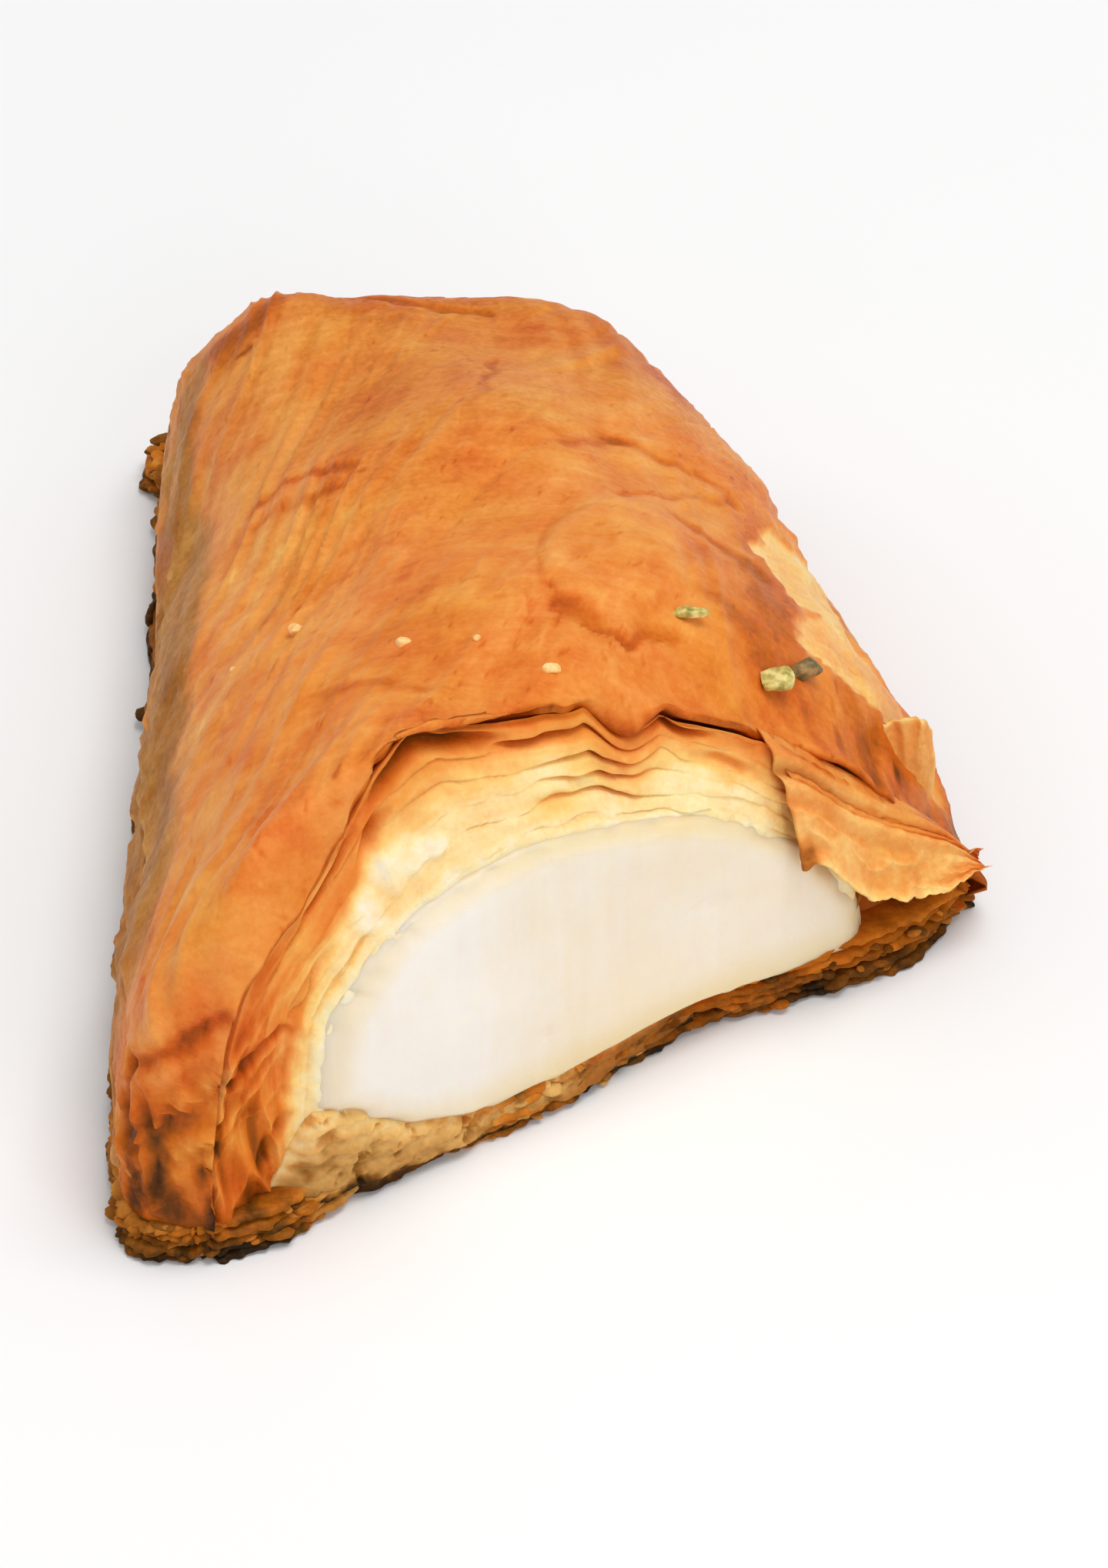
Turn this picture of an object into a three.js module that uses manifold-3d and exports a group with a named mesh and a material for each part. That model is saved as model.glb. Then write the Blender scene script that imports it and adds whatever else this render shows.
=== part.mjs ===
// A cut piece of warbat: a parcel of phyllo sheets baked round thick cream, halved with a knife.
// Millimetres, +Z up, the parcel lying on its flat underside. The cut faces the front and right,
// from the pinched tip at the front to the loose corner at the right; the parcel runs back along +Y.
// Two solids: the pastry, with its leaves, flap, pleats and pistachio bits fused on, and the cream in it.

import * as THREE from "three";
import { mergeVertices } from "three/addons/utils/BufferGeometryUtils.js";
import Module from "manifold-3d";

// Driving dimensions.
const FOOT = 3; // height of the ragged bottom sheets at the rim
const PEAK = 33; // height of the crust's ridge above the foot
const CREAM_RISE = 22; // height of the cream above its bed
const CREAM_BED = 2.7; // height at which the cream lies on the bottom sheets
const GAP = 0.3; // clearance between cream and pastry
const CUT_RECESS = 5; // how far the crust has sprung back above the cream at the cut
const SHEET = 1; // thickness of one fused bundle of sheets
const WELD = 0.02; // the joined pastry is smoothed of details finer than this

// Middle of the footprint in the drawing frame, which is where the part's own origin goes.
const MIDDLE = [-0.16, 7.26];

// The outline of the foot from above: the left edge runs from the tip round to the back,
// and the right edge from the loose corner to the back.
const LEFT_EDGE = [
  [-24.2, -38.2],
  [-29.6, -36.6],
  [-31.2, -29],
  [-31, -8],
  [-30.4, 20],
  [-30.6, 43],
  [-30.8, 51.6],
];
const RIGHT_EDGE = [
  [32.2, -0.8],
  [28.6, 8],
  [25, 17],
  [20.2, 28],
  [14.8, 39],
  [9.6, 48],
  [3, 52],
];

// Heights of the ridge above the foot from the cut to the back, as shares of PEAK, evenly spaced.
const RIDGE = [1.0, 1.0, 0.95, 0.85, 0.73, 0.6, 0.53];

const wasm = await Module();
wasm.setup();

function randomFrom(seed) {
  let state = seed;
  return () => {
    state = (state * 1664525 + 1013904223) % 4294967296;
    return state / 4294967296;
  };
}

const mix = (a, b, t) => a + (b - a) * t;
const clamp = (x) => Math.min(1, Math.max(0, x));
const smooth = (x) => clamp(x) ** 2 * (3 - 2 * clamp(x));

// A Catmull-Rom curve through evenly spaced values or points.
function spline(knots, t) {
  const last = knots.length - 1;
  const x = clamp(t) * last;
  const i = Math.min(last - 1, Math.floor(x));
  const f = x - i;
  const at = (k) => knots[Math.min(last, Math.max(0, k))];
  const blend = (a, b, c, d) =>
    0.5 * (2 * b + (c - a) * f + (2 * a - 5 * b + 4 * c - d) * f * f + (3 * b - a - 3 * c + d) * f ** 3);
  const [a, b, c, d] = [at(i - 1), at(i), at(i + 1), at(i + 2)];
  return Array.isArray(b) ? b.map((_, k) => blend(a[k], b[k], c[k], d[k])) : blend(a, b, c, d);
}

// A point of the plan: u goes from the left edge to the right one, v from the cut to the back.
function plan(u, v) {
  const left = spline(LEFT_EDGE, v);
  const right = spline(RIGHT_EDGE, v);
  return [mix(left[0], right[0], u), mix(left[1], right[1], u)];
}

// The knife cut, from the pinched tip to the loose corner.
const CUT_START = LEFT_EDGE[0];
const CUT_END = RIGHT_EDGE[0];
const CUT_LENGTH = Math.hypot(CUT_END[0] - CUT_START[0], CUT_END[1] - CUT_START[1]);
const ALONG = [(CUT_END[0] - CUT_START[0]) / CUT_LENGTH, (CUT_END[1] - CUT_START[1]) / CUT_LENGTH];
const OUT = [ALONG[1], -ALONG[0]];

// A point beside the cut: s from the tip along it, out in front of it, z up.
const atCut = (s, out, z) => [
  CUT_START[0] + ALONG[0] * s + OUT[0] * out,
  CUT_START[1] + ALONG[1] * s + OUT[1] * out,
  z,
];

// How far the knife has pressed down the left shoulder at the cut, as a share of PEAK.
const PRESSED = 0.135;

// How much the back left shoulder stands up, as a share of the ridge's height.
const SHOULDER = 0.2;

// The crust's section: a skewed arch at the cut, a fuller loaf further back.
function arch(u, v) {
  const skew = mix(0.62, 0.95, smooth(v / 0.5)) + 0.25 * smooth((v - 0.45) / 0.45);
  const fullness = mix(0.7, 0.45, smooth(v / 0.22)) - 0.19 * smooth((v - 0.4) / 0.5);
  const pressed = PRESSED * smooth(1 - Math.abs(u - 0.15) / 0.15) * (1 - smooth(v / 0.16));
  const shoulder = SHOULDER * smooth(1 - Math.abs(u - 0.2) / 0.21) * smooth((v - 0.7) / 0.25);
  return Math.sin(Math.PI * clamp(u) ** skew) ** fullness - pressed + shoulder || 0;
}

// Slow swellings of the crust, in millimetres.
const swell = (x, y) =>
  0.55 * Math.sin(0.16 * x + 0.11 * y + 0.6) +
  0.45 * Math.sin(0.23 * y - 0.09 * x + 2.1) +
  0.3 * Math.sin(0.37 * x + 0.21 * y + 4.0);

function crustTop(u, v) {
  const [x, y] = plan(u, v);
  const end = (1 - clamp(v) ** 20) ** 0.4;
  const full = arch(u, v) * end;
  const z = FOOT + full * (PEAK * spline(RIDGE, v) + swell(x, y));
  const back = CUT_RECESS * arch(u, 0) ** 2 * clamp(1 - v / 0.14);
  return [x - OUT[0] * back, y - OUT[1] * back, z];
}

// The solid that closed triangles bound, turned outside out if its faces point inwards.
function toSolid(points, triangles, turned = false) {
  const geometry = new THREE.BufferGeometry()
    .setAttribute("position", new THREE.Float32BufferAttribute(points.flat(), 3))
    .setIndex(triangles.flat());
  const merged = mergeVertices(geometry, 1e-4);
  const solid = new wasm.Manifold(
    new wasm.Mesh({
      numProp: 3,
      vertProperties: merged.attributes.position.array,
      triVerts: new Uint32Array(merged.index.array),
    }),
  );
  if (solid.volume() > 0) return solid;
  if (turned) throw new Error("a solid has no volume");
  return toSolid(points, triangles.map(([a, b, c]) => [a, c, b]), true);
}

// The solid between two sheets of (nu + 1) by (nv + 1) points, top above bottom, u to the right of v.
function slab(nu, nv, top, bottom) {
  const points = [];
  const triangles = [];
  for (const sheet of [top, bottom])
    for (let j = 0; j <= nv; j++)
      for (let i = 0; i <= nu; i++) points.push(sheet(i / nu, j / nv));
  const upper = (i, j) => j * (nu + 1) + i;
  const lower = (i, j) => upper(i, j) + (nu + 1) * (nv + 1);
  const quad = (a, b, c, d) => triangles.push([a, b, c], [a, c, d]);
  for (let j = 0; j < nv; j++)
    for (let i = 0; i < nu; i++) {
      quad(upper(i, j), upper(i + 1, j), upper(i + 1, j + 1), upper(i, j + 1));
      quad(lower(i, j), lower(i, j + 1), lower(i + 1, j + 1), lower(i + 1, j));
    }
  for (let i = 0; i < nu; i++) {
    quad(lower(i, 0), lower(i + 1, 0), upper(i + 1, 0), upper(i, 0));
    quad(upper(i, nv), upper(i + 1, nv), lower(i + 1, nv), lower(i, nv));
  }
  for (let j = 0; j < nv; j++) {
    quad(upper(0, j), upper(0, j + 1), lower(0, j + 1), lower(0, j));
    quad(lower(nu, j), lower(nu, j + 1), upper(nu, j + 1), upper(nu, j));
  }
  return toSolid(points, triangles);
}

// The solid under a sheet of points, down to a flat floor whose outline follows the sheet's edge.
function dome(nu, nv, top, floor) {
  const points = [];
  const triangles = [];
  for (let j = 0; j <= nv; j++) for (let i = 0; i <= nu; i++) points.push(top(i / nu, j / nv));
  const at = (i, j) => j * (nu + 1) + i;
  for (let j = 0; j < nv; j++)
    for (let i = 0; i < nu; i++)
      triangles.push(
        [at(i, j), at(i + 1, j), at(i + 1, j + 1)],
        [at(i, j), at(i + 1, j + 1), at(i, j + 1)],
      );
  const edge = [];
  for (let i = 0; i < nu; i++) edge.push([i, 0]);
  for (let j = 0; j < nv; j++) edge.push([nu, j]);
  for (let i = nu; i > 0; i--) edge.push([i, nv]);
  for (let j = nv; j > 0; j--) edge.push([0, j]);
  const first = points.length;
  for (const [i, j] of edge) points.push(floor(i / nu, j / nv));
  edge.forEach(([i, j], k) => {
    const next = (k + 1) % edge.length;
    const [a, b] = [at(i, j), at(...edge[next])];
    triangles.push([a, first + k, first + next], [a, first + next, b]);
  });
  const outline = points.slice(first).map(([x, y]) => new THREE.Vector2(x, y));
  for (const [a, b, c] of THREE.ShapeUtils.triangulateShape(outline, []))
    triangles.push([first + a, first + c, first + b]);
  return toSolid(points, triangles);
}

// A ring or bar through cross-section loops, each running anticlockwise as seen from the loop before.
function loft(loops, closed) {
  const size = loops[0].length;
  const points = loops.flat();
  const triangles = [];
  const count = closed ? loops.length : loops.length - 1;
  for (let k = 0; k < count; k++)
    for (let i = 0; i < size; i++) {
      const [a, b] = [k * size + i, k * size + ((i + 1) % size)];
      const [c, d] = [a, b].map((n) => (n + size) % (size * loops.length));
      triangles.push([a, d, c], [a, b, d]);
    }
  if (!closed)
    for (let i = 1; i < size - 1; i++) {
      triangles.push([0, i + 1, i]);
      const base = size * (loops.length - 1);
      triangles.push([base, base + i, base + i + 1]);
    }
  return toSolid(points, triangles);
}

// Points spread more closely towards both ends, or towards the end alone.
const crowdEnds = (t) => {
  const side = t < 0.5 ? 2 * t : 2 - 2 * t;
  const eased = 0.5 * (0.35 * side + 0.65 * side ** 2.4);
  return t < 0.5 ? eased : 1 - eased;
};
const crowdLast = (t) => 1 - (0.3 * (1 - t) + 0.7 * (1 - t) ** 2);

// The loaf: crust above, a flat underside drawn in a little from the foot.
function loaf() {
  return dome(
    30,
    20,
    (u, v) => crustTop(crowdEnds(u), crowdLast(v)),
    (u, v) => [...plan(mix(0.035, 0.965, crowdEnds(u)), mix(0.02, 0.985, crowdLast(v))), 0],
  );
}

// The cream: an arch at the cut, tapering to a blunt end inside the parcel. grow swells it all round.
const CREAM_LEFT = [0.14, 0.13, 0.13, 0.16, 0.24];
const CREAM_RIGHT = [0.835, 0.86, 0.86, 0.83, 0.74];
const CREAM_DEPTH = 0.78;

function creamSection(t) {
  return Math.sin(Math.PI * clamp(t) ** 0.68) ** 0.5 || 0;
}

// Near the cut the cream lies higher towards the pinched tip, on soaked sheets, and a little
// higher over the thick bottom sheets right of the middle.
function creamBed(t, w) {
  const soaked = 7 * clamp(1 - t / 0.26) ** 1.5;
  const thick = 1.2 * smooth(1 - Math.abs(t - 0.66) / 0.3);
  return CREAM_BED + (soaked + thick) * (1 - smooth(w / 0.7));
}

function cream(grow) {
  const nu = 22;
  const nv = 7;
  const place = (t, w) => {
    const v = mix(0, CREAM_DEPTH, w);
    const [a, b] = [spline(CREAM_LEFT, w), spline(CREAM_RIGHT, w)];
    const [x, y] = plan(mix(a, b, t), v);
    const centre = plan(mix(a, b, 0.5), v);
    const reach = Math.hypot(x - centre[0], y - centre[1]) || 1;
    const front = w === 0 ? 0.2 + 0.5 * creamSection(t) + 4 * grow : 0;
    const end = w === 1 ? -2 * grow : 0;
    return [
      x + ((x - centre[0]) / reach) * grow * 2 + OUT[0] * (front + end),
      y + ((y - centre[1]) / reach) * grow * 2 + OUT[1] * (front + end),
    ];
  };
  const roof = (t, w) => {
    const end = (1 - 0.97 * w ** 5) ** 0.5;
    const bed = creamBed(t, w);
    const rise = creamSection(t) * (CREAM_BED + CREAM_RISE - bed) * end * mix(1, 0.86, w);
    return bed + rise + 0.6 + grow;
  };
  return slab(
    nu,
    nv,
    (t, w) => [...place(crowdEnds(t), w), roof(crowdEnds(t), w)],
    (t, w) => [...place(crowdEnds(t), w), creamBed(crowdEnds(t), w) - grow],
  );
}

// Bundles of sheets that show above the cream at the cut, each springing back by its own amount.
const BUNDLES = 5;

function bundle(k, random) {
  const share = (k + 0.5) / BUNDLES;
  const stations = 26;
  const edge = Array.from({ length: stations + 1 }, () => random());
  const level = (u) => {
    const crust = FOOT + arch(u, 0) * PEAK * 0.985;
    const t = (u - CREAM_LEFT[0]) / (CREAM_RIGHT[0] - CREAM_LEFT[0]);
    const lining = CREAM_BED + 1.6 + creamSection(t) * CREAM_RISE;
    return mix(lining, crust, mix(0.12, 0.93, share));
  };
  const from = mix(0.1, 0.03, share);
  const to = mix(0.8, 0.86, share);
  const point = (t, w, lift) => {
    const u = mix(from, to, t);
    const z = level(u) + lift + 0.35 * Math.sin(31 * u + 2.2 * k);
    const back = CUT_RECESS * arch(u, 0) ** 2 * share;
    const lip = 0.2 + 1.3 * edge[Math.round(t * stations)] - back;
    return atCut(u * CUT_LENGTH, w === 0 ? lip : -CUT_RECESS - 2.5, z);
  };
  return slab(
    stations,
    1,
    (t, w) => point(t, w, SHEET / 2),
    (t, w) => point(t, w, -SHEET / 2),
  );
}

// The outline as one closed path, with its outward direction: left edge, back, right edge, cut.
const RIM_STATIONS = 96;
const LEFT_LEG = 0.36; // share of the path that runs along the left edge
const CUT_LEG = 0.26; // share of the path that runs along the cut

function rim(t) {
  const legs = [
    [LEFT_LEG, (f) => plan(0, f)],
    [0.14, (f) => plan(f, 1)],
    [0.24, (f) => plan(1, 1 - f)],
    [CUT_LEG, (f) => plan(1 - f, 0)],
  ];
  const place = (x) => {
    let rest = ((x % 1) + 1) % 1;
    for (const [share, leg] of legs) {
      if (rest <= share) return leg(rest / share);
      rest -= share;
    }
    return legs[0][1](0);
  };
  const [a, b, p] = [place(t - 0.012), place(t + 0.012), place(t)];
  const length = Math.hypot(b[0] - a[0], b[1] - a[1]);
  return { p, out: [-(b[1] - a[1]) / length, (b[0] - a[0]) / length] };
}

// How far the bottom sheets stand forward of the cut, evenly spaced from the loose corner to the tip.
const STAND_FORWARD = [0.3, 2, 1, -0.8, 0, 0.9, -0.7, 1.3, 1.8];

// How far they stick out at the back left, where the fold ends in a point.
const CORNER_REACH = 3;

// The ragged bottom sheets that show all round the foot.
function foot(random) {
  const loops = [];
  for (let k = 0; k < RIM_STATIONS; k++) {
    const { p, out } = rim(k / RIM_STATIONS);
    const alongCut = (k / RIM_STATIONS - (1 - CUT_LEG)) / CUT_LEG;
    const forward = alongCut > 0 ? spline(STAND_FORWARD, alongCut) - 0.4 : 0;
    const corner = CORNER_REACH * clamp(1 - Math.abs(k / RIM_STATIONS - LEFT_LEG) / 0.03);
    const reach = 0.4 + 1.4 * random() ** 1.6 + forward + corner;
    const lower = reach - 0.2 - 0.5 * random();
    const at = (d, z) => [p[0] + out[0] * d, p[1] + out[1] * d, z];
    const top = FOOT + 0.9 * (random() - 0.3);
    loops.push([at(-4.5, 0.9), at(-4.5, top), at(reach, top - 0.4), at(lower, 0.3 + 0.5 * random())]);
  }
  return loft(loops, true);
}

// A leaf of sheets that stands out of the side between two places on the rim.
function leaf(from, to, height, drop, reach, random) {
  const stations = Math.round(Math.abs(to - from) * RIM_STATIONS);
  const loops = [];
  for (let k = 0; k <= stations; k++) {
    const f = k / stations;
    const { p, out } = rim(mix(from, to, f));
    const fade = Math.sin(Math.PI * clamp(f)) ** 0.4;
    const tip = (reach + 1.1 * (random() - 0.5)) * fade - 1.2 * (1 - fade);
    const z = height + 0.7 * Math.sin(19 * f + height) + 0.5 * (random() - 0.5);
    const at = (d, h) => [p[0] + out[0] * d, p[1] + out[1] * d, h];
    loops.push([at(-6, z - 0.8), at(-6, z + 0.6), at(tip, z - drop), at(tip - 0.3, z - drop - 0.7)]);
  }
  return loft(loops, false);
}

// The loose flap of crust that bends down over the cream's right end: where it starts along the
// cut, and the heights of its torn lower edge from there to the loose corner, evenly spaced.
const FLAP_START = 48.8;
const FLAP_EDGE = [15.2, 11, 7.2, 6.6, 6];

function flap(random) {
  const across = 12;
  const ragged = Array.from({ length: across + 1 }, () => random() - 0.5);
  const shape = (t, w) => {
    const s = mix(FLAP_START + 1.2 * w, CUT_LENGTH - 1, t);
    const upper = crustTop(s / CUT_LENGTH, 0)[2] - 0.9;
    const lower = spline(FLAP_EDGE, t) + 0.8 * ragged[Math.round(t * across)];
    const tucked = -CUT_RECESS * arch(s / CUT_LENGTH, 0) ** 2 - 1;
    const out = mix(tucked, 2.4 - 0.9 * t ** 3, w ** 0.5);
    return [s, out, mix(upper, lower, w)];
  };
  const face = (depth) => (t, w) => {
    const [s, out, z] = shape(t, 1 - w);
    return atCut(s, out - depth, z + depth * 0.2);
  };
  return slab(across, 6, face(0), face(1.1));
}

// The corner of crust that stands up behind the flap and wraps round to the right side:
// its line from above and the heights of its upper edge.
const EAR_LINE = [
  [24.7, 0.6],
  [26.7, 0.9],
  [28.4, 1.9],
  [28.6, 4.4],
  [27.6, 7.4],
];
const EAR_TOP = [16.9, 17.2, 16, 13.4, 11];

function ear() {
  const face = (back) => (t, w) => {
    const [x, y] = spline(EAR_LINE, t);
    return [x - back, y + back * (1 - t) + 0.3 * Math.sin(15 * t) * w, mix(6.5, spline(EAR_TOP, t), w)];
  };
  return slab(8, 3, face(0), face(0.9));
}

// Pleats of pinched sheets down the front tip.
function pleat(s, height, lean, width) {
  const loops = [];
  const steps = 6;
  for (let k = 0; k <= steps; k++) {
    const f = k / steps;
    const z = mix(1.2, height, f);
    const bulge = width * Math.sin(Math.PI * mix(0.12, 0.9, f)) ** 0.6;
    const out = 0.1 + bulge * 0.8 - lean * f ** 2;
    const ring = [];
    for (let i = 0; i < 5; i++) {
      const angle = (-2 * Math.PI * i) / 5;
      ring.push(atCut(s + 0.7 * bulge * Math.cos(angle), out + bulge * Math.sin(angle), z));
    }
    loops.push(ring);
  }
  return loft(loops, false);
}

// A pistachio bit or crumb on the crust, half sunk in the glaze.
function bit(u, v, radius, random) {
  const geometry = new THREE.IcosahedronGeometry(radius, 0);
  geometry.deleteAttribute("normal");
  geometry.deleteAttribute("uv");
  const merged = mergeVertices(geometry, 1e-3);
  const position = merged.attributes.position;
  const [x, y, z] = crustTop(u, v);
  const points = [];
  for (let i = 0; i < position.count; i++) {
    const k = 0.8 + 0.4 * random();
    points.push([
      x + k * position.getX(i),
      y + k * position.getY(i),
      z + radius * 0.35 + 0.75 * k * position.getZ(i),
    ]);
  }
  const faces = Array.from(merged.index.array);
  const triangles = [];
  for (let i = 0; i < faces.length; i += 3) triangles.push(faces.slice(i, i + 3));
  return toSolid(points, triangles);
}

// Where the pistachio bits lie: u, v and radius.
const BITS = [
  [0.765, 0.118, 1.5],
  [0.81, 0.145, 1.4],
  [0.71, 0.205, 1.2],
  [0.505, 0.165, 0.7],
  [0.37, 0.36, 0.7],
  [0.24, 0.49, 0.7],
];

function pastry() {
  const random = randomFrom(7);
  let solid = loaf().add(foot(random));
  for (let k = 0; k < BUNDLES; k++) solid = solid.add(bundle(k, random));
  // Leaves down the right side, on the left wall and at the back.
  solid = solid.add(leaf(0.51, 0.7, 6.5, 1.2, 0.9, random));
  solid = solid.add(leaf(0.53, 0.69, 10.5, 1.6, -0.4, random));
  solid = solid.add(leaf(0.06, 0.31, 5.5, 1.4, 0.5, random));
  solid = solid.add(leaf(0.32, 0.49, 7, 1.4, 0.6, random));
  solid = solid.add(flap(random)).add(ear());
  for (const [s, height, lean, width] of [
    [0.6, 12, 0.6, 1.5],
    [3.2, 15, 1.2, 1.3],
    [5.6, 12.5, 1.0, 1.1],
  ])
    solid = solid.add(pleat(s, height, lean, width));
  for (const [u, v, radius] of BITS) solid = solid.add(bit(u, v, radius, random));
  return solid.subtract(cream(GAP)).simplify(WELD);
}

function meshOf(solid, name, material) {
  const parts = solid.decompose().sort((a, b) => b.volume() - a.volume());
  const { numProp, vertProperties, triVerts } = parts[0].getMesh();
  const positions = new Float32Array((vertProperties.length / numProp) * 3);
  for (let i = 0; i < positions.length / 3; i++)
    positions.set(vertProperties.subarray(i * numProp, i * numProp + 3), i * 3);
  const geometry = new THREE.BufferGeometry()
    .setAttribute("position", new THREE.BufferAttribute(positions, 3))
    .setIndex(new THREE.BufferAttribute(new Uint32Array(triVerts), 1));
  geometry.computeVertexNormals();
  const mesh = new THREE.Mesh(geometry, material);
  mesh.name = name;
  return mesh;
}

const crustFinish = new THREE.MeshStandardMaterial({ color: 0xdc843a, roughness: 0.45, metalness: 0 });
const creamFinish = new THREE.MeshStandardMaterial({ color: 0xf1dfc7, roughness: 0.55, metalness: 0 });

const warbat = new THREE.Group();
warbat.add(meshOf(pastry(), "pastry", crustFinish));
warbat.add(meshOf(cream(0), "cream", creamFinish));
warbat.position.set(-MIDDLE[0], -MIDDLE[1], 0);

export default warbat;
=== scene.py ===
"""The looks of a cut half of warbat: a baked phyllo parcel with cream, halved with a knife.

Shapes are worked out in millimetres in the drawing frame of the part's source, from the same
driving values, and shifted to the row frame in metres when a mesh is made.
"""
import math
import random

import bmesh
import bpy
import numpy as np
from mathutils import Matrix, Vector


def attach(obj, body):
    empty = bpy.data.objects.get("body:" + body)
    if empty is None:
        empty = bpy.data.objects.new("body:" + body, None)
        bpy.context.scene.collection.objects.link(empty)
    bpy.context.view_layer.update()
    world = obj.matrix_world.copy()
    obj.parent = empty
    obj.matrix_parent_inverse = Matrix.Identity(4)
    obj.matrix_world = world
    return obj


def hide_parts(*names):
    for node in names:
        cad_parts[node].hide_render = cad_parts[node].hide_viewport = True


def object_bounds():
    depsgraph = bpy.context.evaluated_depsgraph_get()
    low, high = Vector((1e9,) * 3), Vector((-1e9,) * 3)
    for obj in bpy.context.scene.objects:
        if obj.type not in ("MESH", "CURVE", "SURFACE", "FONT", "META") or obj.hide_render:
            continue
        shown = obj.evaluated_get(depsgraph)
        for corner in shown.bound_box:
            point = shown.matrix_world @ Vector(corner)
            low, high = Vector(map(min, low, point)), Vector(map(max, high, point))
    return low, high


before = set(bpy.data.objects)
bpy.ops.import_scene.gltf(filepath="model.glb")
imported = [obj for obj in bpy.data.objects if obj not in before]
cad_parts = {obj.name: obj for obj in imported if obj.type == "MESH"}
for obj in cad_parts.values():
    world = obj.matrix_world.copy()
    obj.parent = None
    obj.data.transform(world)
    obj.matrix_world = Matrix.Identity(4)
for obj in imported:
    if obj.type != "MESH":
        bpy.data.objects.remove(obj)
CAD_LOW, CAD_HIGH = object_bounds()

MM = 0.001

# Driving values of the drawing, in millimetres
MIDDLE = (-0.16, 7.26)
FOOT = 3.0
PEAK = 33.0
PRESSED = 0.135
SHOULDER = 0.2
CUT_RECESS = 5.0
CREAM_RISE = 22.0
CREAM_BED = 2.7
CREAM_DEPTH = 0.78
LEFT_EDGE = np.array(
    [[-24.2, -38.2], [-29.6, -36.6], [-31.2, -29], [-31, -8], [-30.4, 20], [-30.6, 43], [-30.8, 51.6]]
)
RIGHT_EDGE = np.array(
    [[32.2, -0.8], [28.6, 8], [25, 17], [20.2, 28], [14.8, 39], [9.6, 48], [3, 52]]
)
RIDGE = np.array([1.0, 1.0, 0.95, 0.85, 0.73, 0.6, 0.53])
CREAM_LEFT = np.array([0.14, 0.13, 0.13, 0.16, 0.24])
CREAM_RIGHT = np.array([0.835, 0.86, 0.86, 0.83, 0.74])
STAND_FORWARD = np.array([0.3, 2, 1, -0.8, 0, 0.9, -0.7, 1.3, 1.8])
CORNER_REACH = 3.0
FLAP_START = 48.8
FLAP_EDGE = np.array([15.2, 11, 7.2, 6.6, 6])
EAR_LINE = np.array([[24.7, 0.6], [26.7, 0.9], [28.4, 1.9], [28.6, 4.4], [27.6, 7.4]])
EAR_TOP = np.array([16.9, 17.2, 16, 13.4, 11])


# Numbers: easing, curves through knots, and noise
def mix(a, b, t):
    return a + (b - a) * t


def clamp(x, low=0.0, high=1.0):
    return np.clip(x, low, high)


def smooth(x):
    x = clamp(x)
    return x * x * (3 - 2 * x)


def rise(x, start, width):
    """From 0 at the start to 1 at width past it."""
    return smooth((x - start) / width)


def fall(x, end, width):
    """From 1 at width before the end to 0 at the end."""
    return smooth((end - x) / width)


def bump(x, middle, width):
    """1 at the middle, falling smoothly to 0 at width from it."""
    return smooth(1 - np.abs(x - middle) / width)


def bumps(x, table):
    """The sum of the bumps in a table of middles, half widths and heights."""
    return sum(height * bump(x, middle, width) for middle, width, height in table)


def spline(knots, t):
    """A Catmull-Rom curve through evenly spaced values or points."""
    last = len(knots) - 1
    x = clamp(np.asarray(t, float)) * last
    i = np.minimum(last - 1, np.floor(x).astype(int))
    f = (x - i).reshape(x.shape + (1,) * (knots.ndim - 1))
    a, b, c, d = (knots[np.clip(i + k, 0, last)] for k in (-1, 0, 1, 2))
    return 0.5 * (2 * b + (c - a) * f + (2 * a - 5 * b + 4 * c - d) * f**2 + (3 * b - a - 3 * c + d) * f**3)


def lattice(ix, iy, seed):
    """A number from 0 to 1 for each whole-numbered place."""
    n = (ix.astype(np.int64) * 374761393 + iy.astype(np.int64) * 668265263 + seed * 1274126177) & 0xFFFFFFFF
    n = ((n ^ (n >> 13)) * 1103515245) & 0xFFFFFFFF
    n = ((n ^ (n >> 15)) * 2654435761) & 0xFFFFFFFF
    return ((n ^ (n >> 16)) & 0xFFFF) / 65535.0


def noise(x, y, seed):
    """Smooth noise from -1 to 1, one swell for each unit."""
    x, y = np.broadcast_arrays(np.asarray(x, float), np.asarray(y, float))
    ix, iy = np.floor(x), np.floor(y)
    fx, fy = smooth(x - ix), smooth(y - iy)
    low = mix(lattice(ix, iy, seed), lattice(ix + 1, iy, seed), fx)
    high = mix(lattice(ix, iy + 1, seed), lattice(ix + 1, iy + 1, seed), fx)
    return 2 * mix(low, high, fy) - 1


def layered(x, y, seed, octaves=4):
    """Noise with finer and fainter noise on top, each layer turned so that no grid shows."""
    total = 0
    for k in range(octaves):
        total += noise(x, y, seed + 17 * k) / 2**k
        x, y = 1.6 * x - 1.2 * y, 1.2 * x + 1.6 * y
    return total / (2 - 0.5 ** (octaves - 1))


def creases(x, y, seed, sharp):
    """Thin ridges of height 1 where the noise crosses zero."""
    return (1 - np.abs(noise(x, y, seed))) ** sharp


def stroke(x, y, start, end, width):
    """1 on the line between two places, falling to 0 at width from it."""
    dx, dy = end[0] - start[0], end[1] - start[1]
    along = clamp(((x - start[0]) * dx + (y - start[1]) * dy) / (dx * dx + dy * dy))
    away = np.hypot(x - start[0] - along * dx, y - start[1] - along * dy)
    return smooth(1 - away / width)


# The parcel's form: plan, cut, section and crust
def plan(u, v):
    """A point of the plan: u from the left edge to the right, v from the cut to the back."""
    u, v = np.broadcast_arrays(np.asarray(u, float), np.asarray(v, float))
    left, right = spline(LEFT_EDGE, v), spline(RIGHT_EDGE, v)
    return mix(left, right, u[..., None])


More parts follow.
